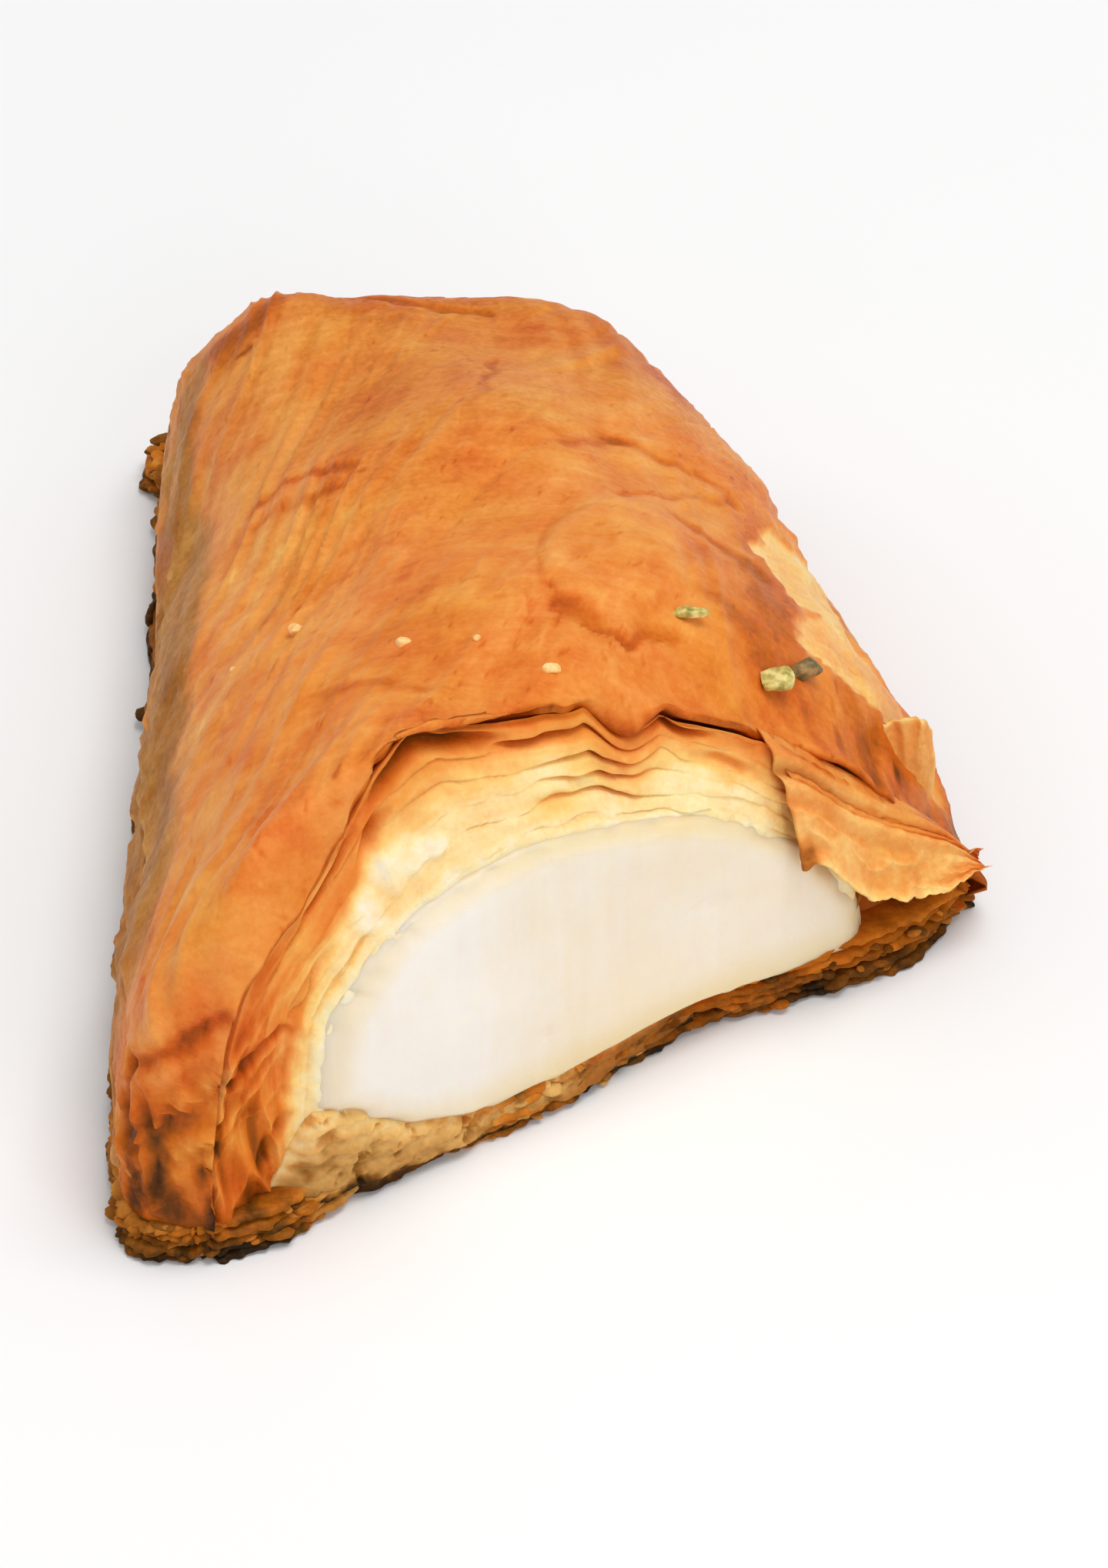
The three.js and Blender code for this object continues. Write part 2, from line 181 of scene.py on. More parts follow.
CUT_START, CUT_END = LEFT_EDGE[0], RIGHT_EDGE[0]
CUT_LENGTH = float(np.hypot(*(CUT_END - CUT_START)))
ALONG = (CUT_END - CUT_START) / CUT_LENGTH
OUT = np.array([ALONG[1], -ALONG[0]])


def at_cut(s, out, z):
    """A point beside the cut: s from the tip along it, out in front of it, z up."""
    s, out, z = np.broadcast_arrays(np.asarray(s, float), np.asarray(out, float), np.asarray(z, float))
    x = CUT_START[0] + ALONG[0] * s + OUT[0] * out
    y = CUT_START[1] + ALONG[1] * s + OUT[1] * out
    return np.stack([x, y, z], -1)


def arch(u, v):
    """The section: a skewed arch at the cut with a pressed left shoulder, a fuller loaf behind."""
    skew = mix(0.62, 0.95, smooth(v / 0.5)) + 0.25 * rise(v, 0.45, 0.45)
    fullness = mix(0.7, 0.45, smooth(v / 0.22)) - 0.19 * rise(v, 0.4, 0.5)
    pressed = PRESSED * bump(u, 0.15, 0.15) * (1 - smooth(v / 0.16))
    shoulder = SHOULDER * bump(u, 0.2, 0.21) * rise(v, 0.7, 0.25)
    return clamp(np.sin(np.pi * clamp(u) ** skew)) ** fullness - pressed + shoulder


def swell(x, y):
    """Slow, low waves in the crust's height."""
    waves = ((0.55, 0.16, 0.11, 0.6), (0.45, -0.09, 0.23, 2.1), (0.3, 0.37, 0.21, 4.0))
    return sum(height * np.sin(a * x + b * y + start) for height, a, b, start in waves)


def crust_top(u, v):
    """The crust's outer face."""
    u, v = np.broadcast_arrays(np.asarray(u, float), np.asarray(v, float))
    xy = plan(u, v)
    x, y = xy[..., 0], xy[..., 1]
    end = (1 - clamp(v) ** 20) ** 0.4
    z = FOOT + arch(u, v) * end * (PEAK * spline(RIDGE, v) + swell(x, y))
    back = CUT_RECESS * arch(u, 0) ** 2 * clamp(1 - v / 0.14)
    return np.stack([x - OUT[0] * back, y - OUT[1] * back, z], -1)


LEFT_LEG, BACK_LEG, RIGHT_LEG, CUT_LEG = 0.36, 0.14, 0.24, 0.26
RIM_LENGTH = 270.0


def rim(t):
    """The outline as one closed path, with its outward direction: left, back, right, cut."""
    legs = [
        (0, LEFT_LEG, lambda f: plan(0 * f, f)),
        (LEFT_LEG, BACK_LEG, lambda f: plan(f, 1)),
        (LEFT_LEG + BACK_LEG, RIGHT_LEG, lambda f: plan(1, 1 - f)),
        (1 - CUT_LEG, CUT_LEG, lambda f: plan(1 - f, 0)),
    ]

    def place(x):
        x = x % 1.0
        points = np.zeros(x.shape + (2,))
        for start, share, leg in legs:
            here = (x >= start) & (x <= start + share + 1e-9)
            points[here] = leg((x[here] - start) / share)
        return points

    t = np.asarray(t, float)
    ahead = place(t + 0.012) - place(t - 0.012)
    ahead /= np.linalg.norm(ahead, axis=-1, keepdims=True)
    return place(t), np.stack([-ahead[..., 1], ahead[..., 0]], -1)


def foot_forward(t):
    """How far the bottom sheets stand out of the rim, before their ragged noise."""
    along_cut = (t % 1.0 - (1 - CUT_LEG)) / CUT_LEG
    forward = np.where(along_cut > 0, spline(STAND_FORWARD, along_cut) - 0.4, 0)
    forward = forward * (1 - 0.85 * rise(along_cut, 0.92, 0.08)) - 1.4 * bump(t, 1 - CUT_LEG, 0.03)
    return forward + CORNER_REACH * clamp(1 - np.abs(t - LEFT_LEG) / 0.03)


# Meshes: grids of points, closed solids, and the finished pieces
def grid(columns, rows):
    """Shares of the way from 0 to 1 across the columns and down the rows of a grid."""
    return np.meshgrid(np.linspace(0, 1, columns), np.linspace(0, 1, rows))


def grid_faces(rows, columns, rows_meet=False, columns_meet=False):
    """Quads of a grid of points, row by row; where they meet, the last row or column joins the first."""
    j, i = np.indices((rows - 1 + rows_meet, columns - 1 + columns_meet))
    below, beside = (j + 1) % rows, (i + 1) % columns
    corners = [j * columns + i, j * columns + beside, below * columns + beside, below * columns + i]
    return np.stack(corners, -1).reshape(-1, 4)


def lengths(points, axis):
    """Distance travelled along the rows or columns of a grid of points."""
    steps = np.linalg.norm(np.diff(points, axis=axis), axis=-1)
    start = np.zeros_like(np.take(steps, [0], axis))
    return np.concatenate([start, np.cumsum(steps, axis=axis)], axis=axis)


def normals_of(points):
    """Unit normals of a grid of points that point up at its middle."""
    n = np.cross(np.gradient(points, axis=1), np.gradient(points, axis=0))
    n /= np.maximum(np.linalg.norm(n, axis=-1, keepdims=True), 1e-9)
    return n if n[len(n) // 2, n.shape[1] // 2, 2] > 0 else -n


def even_places(points, count, weights=1):
    """Places between the points of a curve, counted in points, the same weighted length apart."""
    steps = np.linalg.norm(np.diff(points, axis=0), axis=-1) * weights
    length = np.concatenate([[0], np.cumsum(steps)])
    return np.interp(np.linspace(0, length[-1], count), length, np.arange(len(points)))


def between(values, places):
    """Values at places between them, counted from the first one."""
    return np.interp(places, np.arange(len(values)), values)


class Build:
    """Collects the points, faces and browning of one mesh."""

    def __init__(self):
        self.points, self.faces, self.bake, self.tan, self.count = [], [], [], [], 0

    def add(self, points, faces, bake=0.0, tan=0.0):
        points = np.asarray(points, float).reshape(-1, 3)
        self.points.append(points)
        self.faces += [tuple(i + self.count for i in face) for face in faces]
        for store, value in ((self.bake, bake), (self.tan, tan)):
            store.append(np.broadcast_to(np.ravel(value), len(points)))
        self.count += len(points)

    def slab(self, top, bottom, bake=0.0, tan=0.0):
        """A closed solid between two grids of points of the same size."""
        rows, columns = top.shape[:2]
        count = rows * columns
        index = np.arange(count).reshape(rows, columns)
        edge = np.concatenate([index[0, :-1], index[:-1, -1], index[-1, :0:-1], index[:0:-1, 0]])
        after = np.roll(edge, -1)
        upper = grid_faces(rows, columns)
        side = np.stack([edge, edge + count, after + count, after], -1)
        faces = np.concatenate([upper, upper[:, ::-1] + count, side]).tolist()
        both = [np.concatenate([np.broadcast_to(x, (rows, columns)).ravel()] * 2) for x in (bake, tan)]
        self.add(np.concatenate([top.reshape(-1, 3), bottom.reshape(-1, 3)]), faces, *both)

    def tube(self, rings, closed=False, bake=0.0, tan=0.0):
        """A bar or ring through closed rings of points; a bar's ends are filled."""
        rows, columns = rings.shape[:2]
        faces = grid_faces(rows, columns, rows_meet=closed, columns_meet=True).tolist()
        points = rings.reshape(-1, 3)
        values = [np.broadcast_to(x, (rows, columns)) for x in (bake, tan)]
        flat = [x.ravel() for x in values]
        if not closed:
            points = np.concatenate([points, [rings[0].mean(0), rings[-1].mean(0)]])
            flat = [np.concatenate([x.ravel(), [x[0].mean(), x[-1].mean()]]) for x in values]
            first, base = rows * columns, (rows - 1) * columns
            faces += [(first, (i + 1) % columns, i) for i in range(columns)]
            faces += [(first + 1, base + i, base + (i + 1) % columns) for i in range(columns)]
        self.add(points, faces, *flat)

    def relief(self, front, behind, bake, tan):
        """A closed solid with a fine front grid, one column for each ring, and a plain back."""
        rings = np.concatenate([front, behind[-1:], behind[:1]]).transpose(1, 0, 2)
        values = [np.broadcast_to(x, front.shape[:2]) for x in (bake, tan)]
        values = [np.concatenate([x, x[-1:], x[:1]]).T for x in values]
        self.tube(rings, False, *values)

    def make(self, name, material, slot, node=None):
        points = np.concatenate(self.points)
        points[:, :2] -= MIDDLE
        points = np.clip(points * MM, np.array(CAD_LOW), np.array(CAD_HIGH))
        mesh = bpy.data.meshes.new(name)
        mesh.from_pydata(points.tolist(), [], self.faces)
        for key, values in (("bake", self.bake), ("tan", self.tan)):
            attribute = mesh.attributes.new(key, "FLOAT", "POINT")
            attribute.data.foreach_set("value", clamp(np.concatenate(values)).astype(np.float32))
        turn_outwards(mesh)
        mesh.polygons.foreach_set("use_smooth", [True] * len(mesh.polygons))
        mesh.materials.append(material)
        piece = new_object(name, mesh)
        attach(piece, "root")
        if node:
            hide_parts(node)
        return piece


def new_object(name, data):
    made = bpy.data.objects.new(name, data)
    bpy.context.scene.collection.objects.link(made)
    return made


def turn_outwards(mesh):
    """Makes the faces of every loose part point out of it."""
    work = bmesh.new()
    work.from_mesh(mesh)
    bmesh.ops.recalc_face_normals(work, faces=work.faces)
    work.to_mesh(mesh)
    work.free()


def ball(subdivisions):
    """Points and triangles of a round ball."""
    work = bmesh.new()
    bmesh.ops.create_icosphere(work, subdivisions=subdivisions, radius=1.0)
    points = np.array([v.co for v in work.verts])
    faces = [tuple(v.index for v in f.verts) for f in work.faces]
    work.free()
    return points, faces


def chip(made, centre, size, rng, shape, flats=9, bake=0.0, tan=0.0):
    """An irregular chip: a ball cut by a few flat faces, stretched and turned."""
    points, faces = shape
    for _ in range(flats):
        direction = np.array([rng.gauss(0, 1) for _ in range(3)])
        direction /= np.linalg.norm(direction)
        beyond = np.maximum(points @ direction - rng.uniform(0.5, 0.85), 0)
        points = points - np.outer(beyond * 0.9, direction)
    uneven = noise(points[:, 0] * 2.3 + 9 * rng.random(), points[:, 1] * 2.3, 121)
    points = points * (1 + 0.08 * uneven)[:, None] * np.array(size)
    turn, tilt = rng.uniform(-0.5, 0.5), rng.uniform(-0.25, 0.25)
    cos, sin = math.cos(turn), math.sin(turn)
    points = points @ np.array([[cos, sin, 0], [-sin, cos, 0], [0, 0, 1]])
    cos, sin = math.cos(tilt), math.sin(tilt)
    points = points @ np.array([[cos, 0, sin], [0, 1, 0], [-sin, 0, cos]])
    made.add(points + centre, faces, bake, tan)


# Materials
def linear(r, g, b):
    """A colour given as display values from 0 to 255, as linear light."""
    shares = [value / 255 for value in (r, g, b)]
    return tuple(c / 12.92 if c <= 0.04045 else ((c + 0.055) / 1.055) ** 2.4 for c in shares) + (1.0,)


def put(sockets, values):
    """Sets or links the values of a node's inputs."""
    for key, value in values.items():
        if isinstance(value, bpy.types.NodeSocket):
            value.node.id_data.links.new(value, sockets[key])
        else:
            sockets[key].default_value = value


def new_material(name):
    material = bpy.data.materials.new(name)
    material.use_nodes = True
    return material, material.node_tree, material.node_tree.nodes["Principled BSDF"]


def node(tree, kind, inputs, **settings):
    made = tree.nodes.new(kind)
    for key, value in settings.items():
        setattr(made, key, value)
    put(made.inputs, inputs)
    return made


def ramp(tree, factor, stops):
    made = node(tree, "ShaderNodeValToRGB", {"Fac": factor})
    elements = made.color_ramp.elements
    while len(elements) < len(stops):
        elements.new(0.5)
    for element, (position, colour) in zip(elements, stops):
        element.position = position
        element.color = colour
    return made.outputs["Color"]


def place_in_mm(tree):
    where = node(tree, "ShaderNodeTexCoord", {}).outputs["Object"]
    scaled = node(tree, "ShaderNodeVectorMath", {0: where, 1: (1000, 1000, 1000)}, operation="MULTIPLY")
    return scaled.outputs["Vector"]


def texture_noise(tree, vector, scale, detail, turn=0.0, stretch=None):
    if stretch:
        settings = {"Vector": vector, "Rotation": (0, 0, math.radians(turn)), "Scale": stretch}
        vector = node(tree, "ShaderNodeMapping", settings).outputs["Vector"]
    settings = {"Vector": vector, "Scale": scale, "Detail": detail, "Roughness": 0.58}
    return node(tree, "ShaderNodeTexNoise", settings).outputs["Fac"]


def calculate(tree, operation, a, b=0.0, c=0.0, clamped=False):
    inputs = {0: a, 1: b, 2: c} if operation == "MULTIPLY_ADD" else {0: a, 1: b}
    return node(tree, "ShaderNodeMath", inputs, operation=operation, use_clamp=clamped).outputs["Value"]


def blend_colour(tree, factor, a, b):
    made = node(tree, "ShaderNodeMix", {"Factor": factor}, data_type="RGBA")
    put(made.inputs, {6: a, 7: b})
    return made.outputs[2]


def attribute(tree, name):
    """A value that the mesh holds for each point."""
    return node(tree, "ShaderNodeAttribute", {}, attribute_name=name).outputs["Fac"]


def uneven(tree, height, strength, depth):
    """A normal disturbed by a height, its depth in metres."""
    settings = {"Height": height, "Strength": strength, "Distance": depth}
    return node(tree, "ShaderNodeBump", settings).outputs["Normal"]


# Colours of baked phyllo from pale to burnt, and of soaked phyllo
BAKE_COLOURS = [
    (0.0, linear(250, 238, 216)),
    (0.07, linear(253, 228, 172)),
    (0.18, linear(250, 202, 119)),
    (0.34, linear(240, 160, 78)),
    (0.5, linear(227, 131, 50)),
    (0.62, linear(209, 104, 27)),
    (0.75, linear(164, 80, 16)),
    (0.87, linear(104, 56, 14)),
    (1.0, linear(42, 26, 12)),
]
SOAKED_COLOURS = [
    (0.0, linear(244, 214, 156)),
    (0.3, linear(210, 164, 96)),
    (0.55, linear(160, 110, 48)),
    (0.8, linear(102, 66, 24)),
    (1.0, linear(46, 32, 16)),
]


def pastry_material(name, roughness, coat, blotch, subsurface, yellower=0.0):
    """Baked phyllo: each point's bake and tan values, broken up by noise, give its colour."""
    material, tree, shader = new_material(name)
    place = place_in_mm(tree)
    level, tan = attribute(tree, "bake"), attribute(tree, "tan")
    slow = texture_noise(tree, place, 0.13, 3)
    streak = texture_noise(tree, place, 0.5, 4, -34, (0.3, 1.5, 0.7))
    fine = texture_noise(tree, place, 1.9, 3)
    for mottle, share in ((slow, 1), (streak, 0.9), (fine, 0.8)):
        level = calculate(tree, "MULTIPLY_ADD", mottle, share * blotch, level)
    level = calculate(tree, "SUBTRACT", level, 1.35 * blotch, clamped=True)
    baked = ramp(tree, level, BAKE_COLOURS)
    hue = node(tree, "ShaderNodeHueSaturation", {
        "Hue": calculate(tree, "MULTIPLY_ADD", slow, -0.035, 0.5175 + yellower),
        "Saturation": 1.0,
        "Value": 1.0,
        "Color": baked,
    }).outputs["Color"]
    soaked = ramp(tree, level, SOAKED_COLOURS)
    shares = calculate(tree, "MULTIPLY_ADD", calculate(tree, "SUBTRACT", fine, 0.5), 0.5, tan, clamped=True)
    shares = calculate(tree, "MULTIPLY", shares, calculate(tree, "GREATER_THAN", tan, 0.001))
    put(shader.inputs, {
        "Base Color": blend_colour(tree, shares, hue, soaked),
        "Roughness": calculate(tree, "MULTIPLY_ADD", fine, 0.3, roughness - 0.15, clamped=True),
        "Specular IOR Level": 0.05,
        "Coat Weight": calculate(tree, "MULTIPLY_ADD", tan, -coat, coat),
        "Coat Roughness": 0.3,
        "Subsurface Weight": subsurface,
        "Subsurface Radius": (1.0, 0.4, 0.15),
        "Subsurface Scale": 0.0015,
    })
    put(shader.inputs, {"Normal": uneven(tree, texture_noise(tree, place, 1.5, 5), 0.45, 0.0003)})
    return material


def cream_material():
    """Cream, white in the middle and warmer where its bake value is higher."""
    material, tree, shader = new_material("cream")
    place = place_in_mm(tree)
    warm = attribute(tree, "bake")
    cloudy = texture_noise(tree, place, 0.1, 3)
    streak = texture_noise(tree, place, 0.5, 3, 33, (2.2, 1.0, 0.14))
    shade = calculate(tree, "MULTIPLY_ADD", streak, 0.22, calculate(tree, "MULTIPLY", cloudy, 0.5))
    shade = calculate(tree, "SUBTRACT", calculate(tree, "ADD", warm, shade), 0.36, clamped=True)
    raised = uneven(tree, texture_noise(tree, place, 0.8, 4), 0.25, 0.0004)
    put(shader.inputs, {
        "Base Color": ramp(tree, shade, [
            (0.0, linear(246, 238, 228)),
            (0.3, linear(243, 227, 203)),
            (0.6, linear(240, 219, 180)),
            (1.0, linear(240, 208, 148)),
        ]),
        "Roughness": 0.45,
        "Specular IOR Level": 0.3,
        "Coat Weight": 0.1,
        "Coat Roughness": 0.35,
        "Subsurface Weight": 0.5,
        "Subsurface Radius": (1.0, 0.7, 0.4),
        "Subsurface Scale": 0.003,
        "Normal": raised,
    })
    return material


def bit_material(name, stops, roughness):
    """Pistachio flesh, its skin, or a pale crumb: mottled by noise."""
    material, tree, shader = new_material(name)
    speckle = texture_noise(tree, place_in_mm(tree), 1.3, 4)
    raised = uneven(tree, speckle, 0.4, 0.0002)
    put(shader.inputs, {
        "Base Color": ramp(tree, speckle, stops),
        "Roughness": roughness,
        "Coat Weight": 0.25,
        "Coat Roughness": 0.3,
        "Subsurface Weight": 0.15,
        "Subsurface Radius": (0.6, 0.8, 0.3),
        "Subsurface Scale": 0.001,
        "Normal": raised,
    })
    return material


def floor_material():
    material, tree, shader = new_material("floor")
    tone = texture_noise(tree, place_in_mm(tree), 0.01, 2)
    put(shader.inputs, {
        "Base Color": ramp(tree, tone, [(0.3, (0.9, 0.9, 0.9, 1)), (0.7, (0.92, 0.92, 0.92, 1))]),
        "Roughness": 0.7,
        "Specular IOR Level": 0.2,
    })
    return material


GLAZED = pastry_material("glazed_crust", 0.44, 0.1, 0.22, 0.08)
DRY = pastry_material("cut_phyllo", 0.55, 0.05, 0.14, 0.25)
DARK = pastry_material("bottom_phyllo", 0.6, 0.06, 0.26, 0.05, 0.012)
CREAM = cream_material()
PISTACHIO = bit_material("pistachio", [
    (0.35, linear(146, 132, 48)),
    (0.5, linear(206, 186, 96)),
    (0.65, linear(238, 222, 150)),
], 0.5)
SKIN = bit_material("pistachio_skin", [
    (0.35, linear(84, 66, 26)),
    (0.5, linear(124, 98, 40)),
    (0.65, linear(168, 128, 66)),
], 0.6)
CRUMB = bit_material("pale_crumb", [
    (0.35, linear(232, 160, 84)),
    (0.5, linear(248, 192, 112)),
    (0.65, linear(254, 218, 150)),
], 0.5)


# The crust: one closed loaf, its fine outer face first, then its floor and the wall behind the cut
CRUST_ACROSS = 380
CRUST_BACK = 230
FLOOR_ACROSS = 16
WALL_BEHIND = 7.0
LIP_THICKNESS = 0.55
LIP_LOWEST = 0.6
FLOOR_LEVEL = 0.05
FRONT_BAKE = 0.68
UNDER_BAKE = 0.72

# How far the crust lies below its form, so that its ridges reach it, and how brown it starts
CRUST_SUNK = 0.3
CRUST_BAKE = 0.49

# The plan's width where the band is torn, and the step in the noise from one wall to the next
PLAN_WIDTH = 52.0
NEXT_WALL = 300.0

# The blister's middle and half sizes, in x and y
BLISTER_PLACE = (4.472, 2.6)
BLISTER_SIZE = (5.4, 10.2)

# The lip sags between short rises: place along the cut, half width, change of height
LIP_SAGS = [(37.4, 3.0, -1.8), (34.2, 1.6, 0.5), (40.6, 1.6, 0.5), (20.5, 3.0, 0.3)]

# Left border of the torn pale band along the right edge: u at v from 0.1 to 0.6
PALE_BAND = np.array([0.95, 0.835, 0.86, 0.875, 0.94, 1.0])

# Streaks on the crust: start, end, half width, change of bake, relief; the last two are painted shade along
# the fold above the lip
STREAKS = [
    ((-23.0, 20.8), (-15.8, 18.6), 1.0, 0.2, -0.12),
    ((-22.6, 17.6), (-16.8, 16.0), 0.8, 0.13, -0.1),
    ((0.6, 19.2), (5.5, 23.2), 1.2, 0.16, -0.2),
    ((5.5, 23.2), (12.5, 20.5), 1.5, 0.16, -0.15),
    ((5.0, 13.4), (13.0, 20.5), 1.0, 0.12, -0.12),
    ((9.2, 11.6), (14.6, 8.2), 1.1, 0.14, -0.15),
    ((14.6, 8.2), (16.6, 1.5), 1.6, 0.12, 0.0),
    ((16.4, 18.5), (17.8, 6.5), 0.9, 0.16, -0.1),
    ((11.6, 0.0), (15.6, -3.5), 1.8, 0.12, 0.0),
    ((19.5, -2.6), (25.0, -0.5), 2.0, 0.04, 0.0),
    ((-17.0, -13.6), (-9.6, -17.4), 1.3, 0.13, 0.0),
    ((0.4, -6.8), (5.4, -8.6), 1.0, 0.18, -0.25),
    ((5.4, -8.6), (9.6, -5.6), 1.0, 0.16, -0.2),
    ((-5.6, 27.6), (-4.9, 34.8), 0.8, 0.1, -0.12),
    ((-20.2, 48.6), (-4.3, 45.0), 0.9, 0.2, -0.3),
    ((-26.2, 44.8), (-22.0, 45.4), 2.8, 0.21, 0.1),
    ((-24.6, 41.5), (-25.4, 45.0), 2.0, 0.1, 0.0),
    ((-23.8, 41.8), (-23.6, 41.8), 0.6, 0.4, 0.0),
    # Painted shade: a brown band along the fold just above the lip.
    ((-10.3, -28.5), (-5.7, -22.6), 1.2, 0.14, -0.3),
    ((-5.7, -22.6), (1.2, -20.5), 1.2, 0.12, -0.3),
]

# Folds of the tip: start, end and half width, on the cut as places along it and heights
CUT_FOLDS = [
    ((7.0, 17.8), (2.8, 15.0), 0.9),
    ((2.8, 15.0), (0.6, 9.4), 0.9),
    ((6.7, 9.6), (4.8, 6.6), 1.0),
]

# The same on the left wall, as ways behind the cut and heights
WALL_FOLDS = [
    ((0.8, 20.6), (7.5, 15.0), 1.2),
    ((7.5, 15.0), (7.5, 8.5), 1.1),
    ((2.6, 13.0), (4.0, 6.0), 1.0),
]

# Open sheet edges on the walls: height and how far each stands out
LEFT_SHEETS = [(4.6, 0.5), (6.6, 0.6), (9.0, 0.45), (12.4, 0.35)]
RIGHT_SHEETS = [(4.8, 0.5), (7.0, 0.55), (10.6, 0.35)]
BACK_SHEETS = [(4.6, 0.5), (6.6, 0.5), (9.4, 0.35)]


def tip_pleats(place, z):
    """Relief and darker creases of the pinched tip: place along the rim, 0 where the cut starts; the pleats
    are paler on their ridges and darker in their valleys and cleft, as painted light and shade.
    """
    here = fall(np.abs(place + 1), 10, 5) * fall(z, 17, 7)
    waves = creases(place / 1.7 + 0.15 * z, z / 9, 161, 2)
    fine = noise(place / 0.8 + 0.2 * z, z / 6, 163)
    cleft = bump(place + 0.08 * (z - 4), 0.2, 0.8) * fall(z, 7, 2.5)
    relief = here * (0.95 * waves - 0.3 + 0.2 * fine) - 0.9 * cleft
    # Painted light and shade: paler on the pleats' ridges, darker in their valleys and in the cleft.
    bake = here * (0.14 - 0.24 * (waves - 0.45) + 0.1 * fine) + 0.25 * cleft
    streaks = 0.6 + 0.9 * smooth(0.3 + noise(place + 0.1 * z, z / 8, 169))
    bake += 0.14 * here * fall(z, 7.5, 4) * streaks
    level = z - 0.9 * place + 0.8 * noise(place / 3, z / 4, 151)
    slanted = rise(level, 6, 3) * fall(level, 20, 3) * fall(np.abs(place), 10, 4)
    slanted *= fall(z, 22, 3) * rise(z, 5, 4)
    strands = creases(level / 1.35, (place + 0.9 * z) / 9, 153, 2)
    return relief + slanted * (0.5 * strands - 0.2), bake + slanted * (0.075 - 0.18 * (strands - 0.4))


def folded(x, y, lines):
    """Relief and darkening of folds along lines: a crease with a swelling on both sides, the crease darkened
    as painted shade.
    """
    x, y = x + 0.4 * noise(x / 1.5, y / 1.5, 165), y + 0.4 * noise(x / 1.5, y / 1.5, 167)
    relief, bake = 0, 0
    for start, end, width in lines:
        crease, swelling = stroke(x, y, start, end, width), stroke(x, y, start, end, 2.4 * width)
        relief += 0.35 * swelling - 0.85 * crease
        # The crease is darker as painted shade.
        bake += 0.21 * crease + 0.02 * swelling
    return relief, bake


class CrustFace:
    """The crust's outer face: where its points lie, and the relief, bake and tan laid on them."""

    def __init__(self, u, v, base):
        self.u, self.v, self.z = u, v, base[..., 2]
        self.x, self.y = np.moveaxis(plan(u, v), -1, 0)
        self.across, self.along = lengths(base, 1), lengths(base, 0)
        self.across -= self.across[:, [CRUST_ACROSS // 2]]
        self.left, self.right = fall(u, 0.42, 0.2), rise(u, 0.58, 0.16)
        self.relief = np.full(u.shape, -CRUST_SUNK)
        self.bake = np.full(u.shape, CRUST_BAKE)
        self.tan = np.zeros(u.shape)

    def noise(self, wide, long, seed):
        """Noise with swells of this size across and along the crust."""
        return noise(self.across / wide, self.along / long, seed)

    def layered(self, wide, long, seed, octaves):
        return layered(self.across / wide, self.along / long, seed, octaves)


def wrinkle(face):
    """Slack wrinkles: slantwise on the left, along the edge on the right, along the lip at the cut."""
    across, along, left, right = face.across, face.along, face.left, face.right
    near_cut = 1 - smooth(face.v / 0.07)
    drift = 2.4 * face.noise(15, 17, 5)
    slant = along * 0.78 - across * 0.62 + drift
    run = along * 0.62 + across * 0.78
    slack = smooth(0.45 + 1.3 * face.noise(19, 17, 7))
    face.relief += 0.4 * face.noise(10, 12, 3)
    face.relief += 0.45 * slack * creases(slant / 6.0, run / 34, 11, 3)
    face.relief += (0.38 * left + 0.1) * creases(slant / 2.3, run / 17, 12, 2)
    face.relief -= 0.22 * slack * creases(slant / 4.3, run / 22, 13, 4)
    face.relief += 0.26 * right * creases(across / 2.6 + 0.4 * drift, along / 26, 14, 2)
    face.relief += 0.3 * near_cut * creases(across / 19, along / 1.7 + 0.5 * drift, 15, 2)
    streaky = left * noise(slant / 1.1, run / 9, 42) + right * face.noise(1.2, 13, 43)
    streaky += near_cut * face.noise(11, 0.9, 44)
    face.bake += 0.07 * face.noise(8, 10, 41) + 0.055 * streaky


def crinkle(face):
    """Fine roughness all over, and small creases in patches, painted paler on their ridges and darker beside
    them as painted light and shade.
    """
    across, along = face.across, face.along
    patchy = smooth(0.6 + 0.9 * face.noise(11, 13, 25))
    bent = (across - 0.6 * along) / 2 + 0.5 * face.noise(3, 3, 27)
    small = creases(bent, (along + 0.6 * across) / 3, 23, 3)
    face.relief += 0.07 * face.layered(1.9, 1.9, 17, 3) + 0.1 * patchy * (small - 0.4)
    # Random mottling, and painted light and shade on the small creases: paler on their ridges, darker beside
    # them.
    face.bake += 0.075 * face.layered(2.6, 2.6, 45, 3) - 0.07 * patchy * (small - 0.45)


def flake(face):
    """Thin flakes: low steps along the contours of a slow noise, painted paler on each step's crest and
    darker at its foot as painted light and shade.
    """
    step = 4.5 * face.layered(13, 16, 24, 3)
    step -= np.floor(step)
    flaky = smooth(0.25 + 1.4 * face.noise(9, 11, 26))
    flaky *= 0.5 + 0.5 * fall(face.z, 16, 8)
    face.relief += 0.2 * flaky * smooth(step / 0.07) * (1 - step)
    # Painted highlight on each step's crest and painted shade at the foot of its rise.
    face.bake += flaky * (0.1 * bump(step, 0.97, 0.06) - 0.06 * bump(step, 0.08, 0.1))


def brown(face):
    """Browner on the right and at the back, paler on the left, with specks and a charred lip that is darker
    still over its middle as painted shade.
    """
    u, v = face.u, face.v
    face.bake += 0.105 * rise(u, 0.66, 0.12) * fall(v, 0.5, 0.15)
    face.bake += 0.075 * rise(v, 0.6, 0.3) - 0.08 * face.left
    face.bake += 0.12 * rise(face.layered(0.9, 0.9, 50, 2), 0.62, 0.1)
    # The lip is charred, and over the arch's left middle it is darker still as painted shade along the lip's
    # edge.
    char_and_lip_shade = (0.13 + 0.12 * face.layered(2.2, 1.2, 49, 3)) * (1 + 1.2 * bump(u, 0.36, 0.16))
    face.bake += char_and_lip_shade * (1 - smooth(v / 0.022)) * rise(u, 0.14, 0.1) * fall(u, 0.75, 0.05)


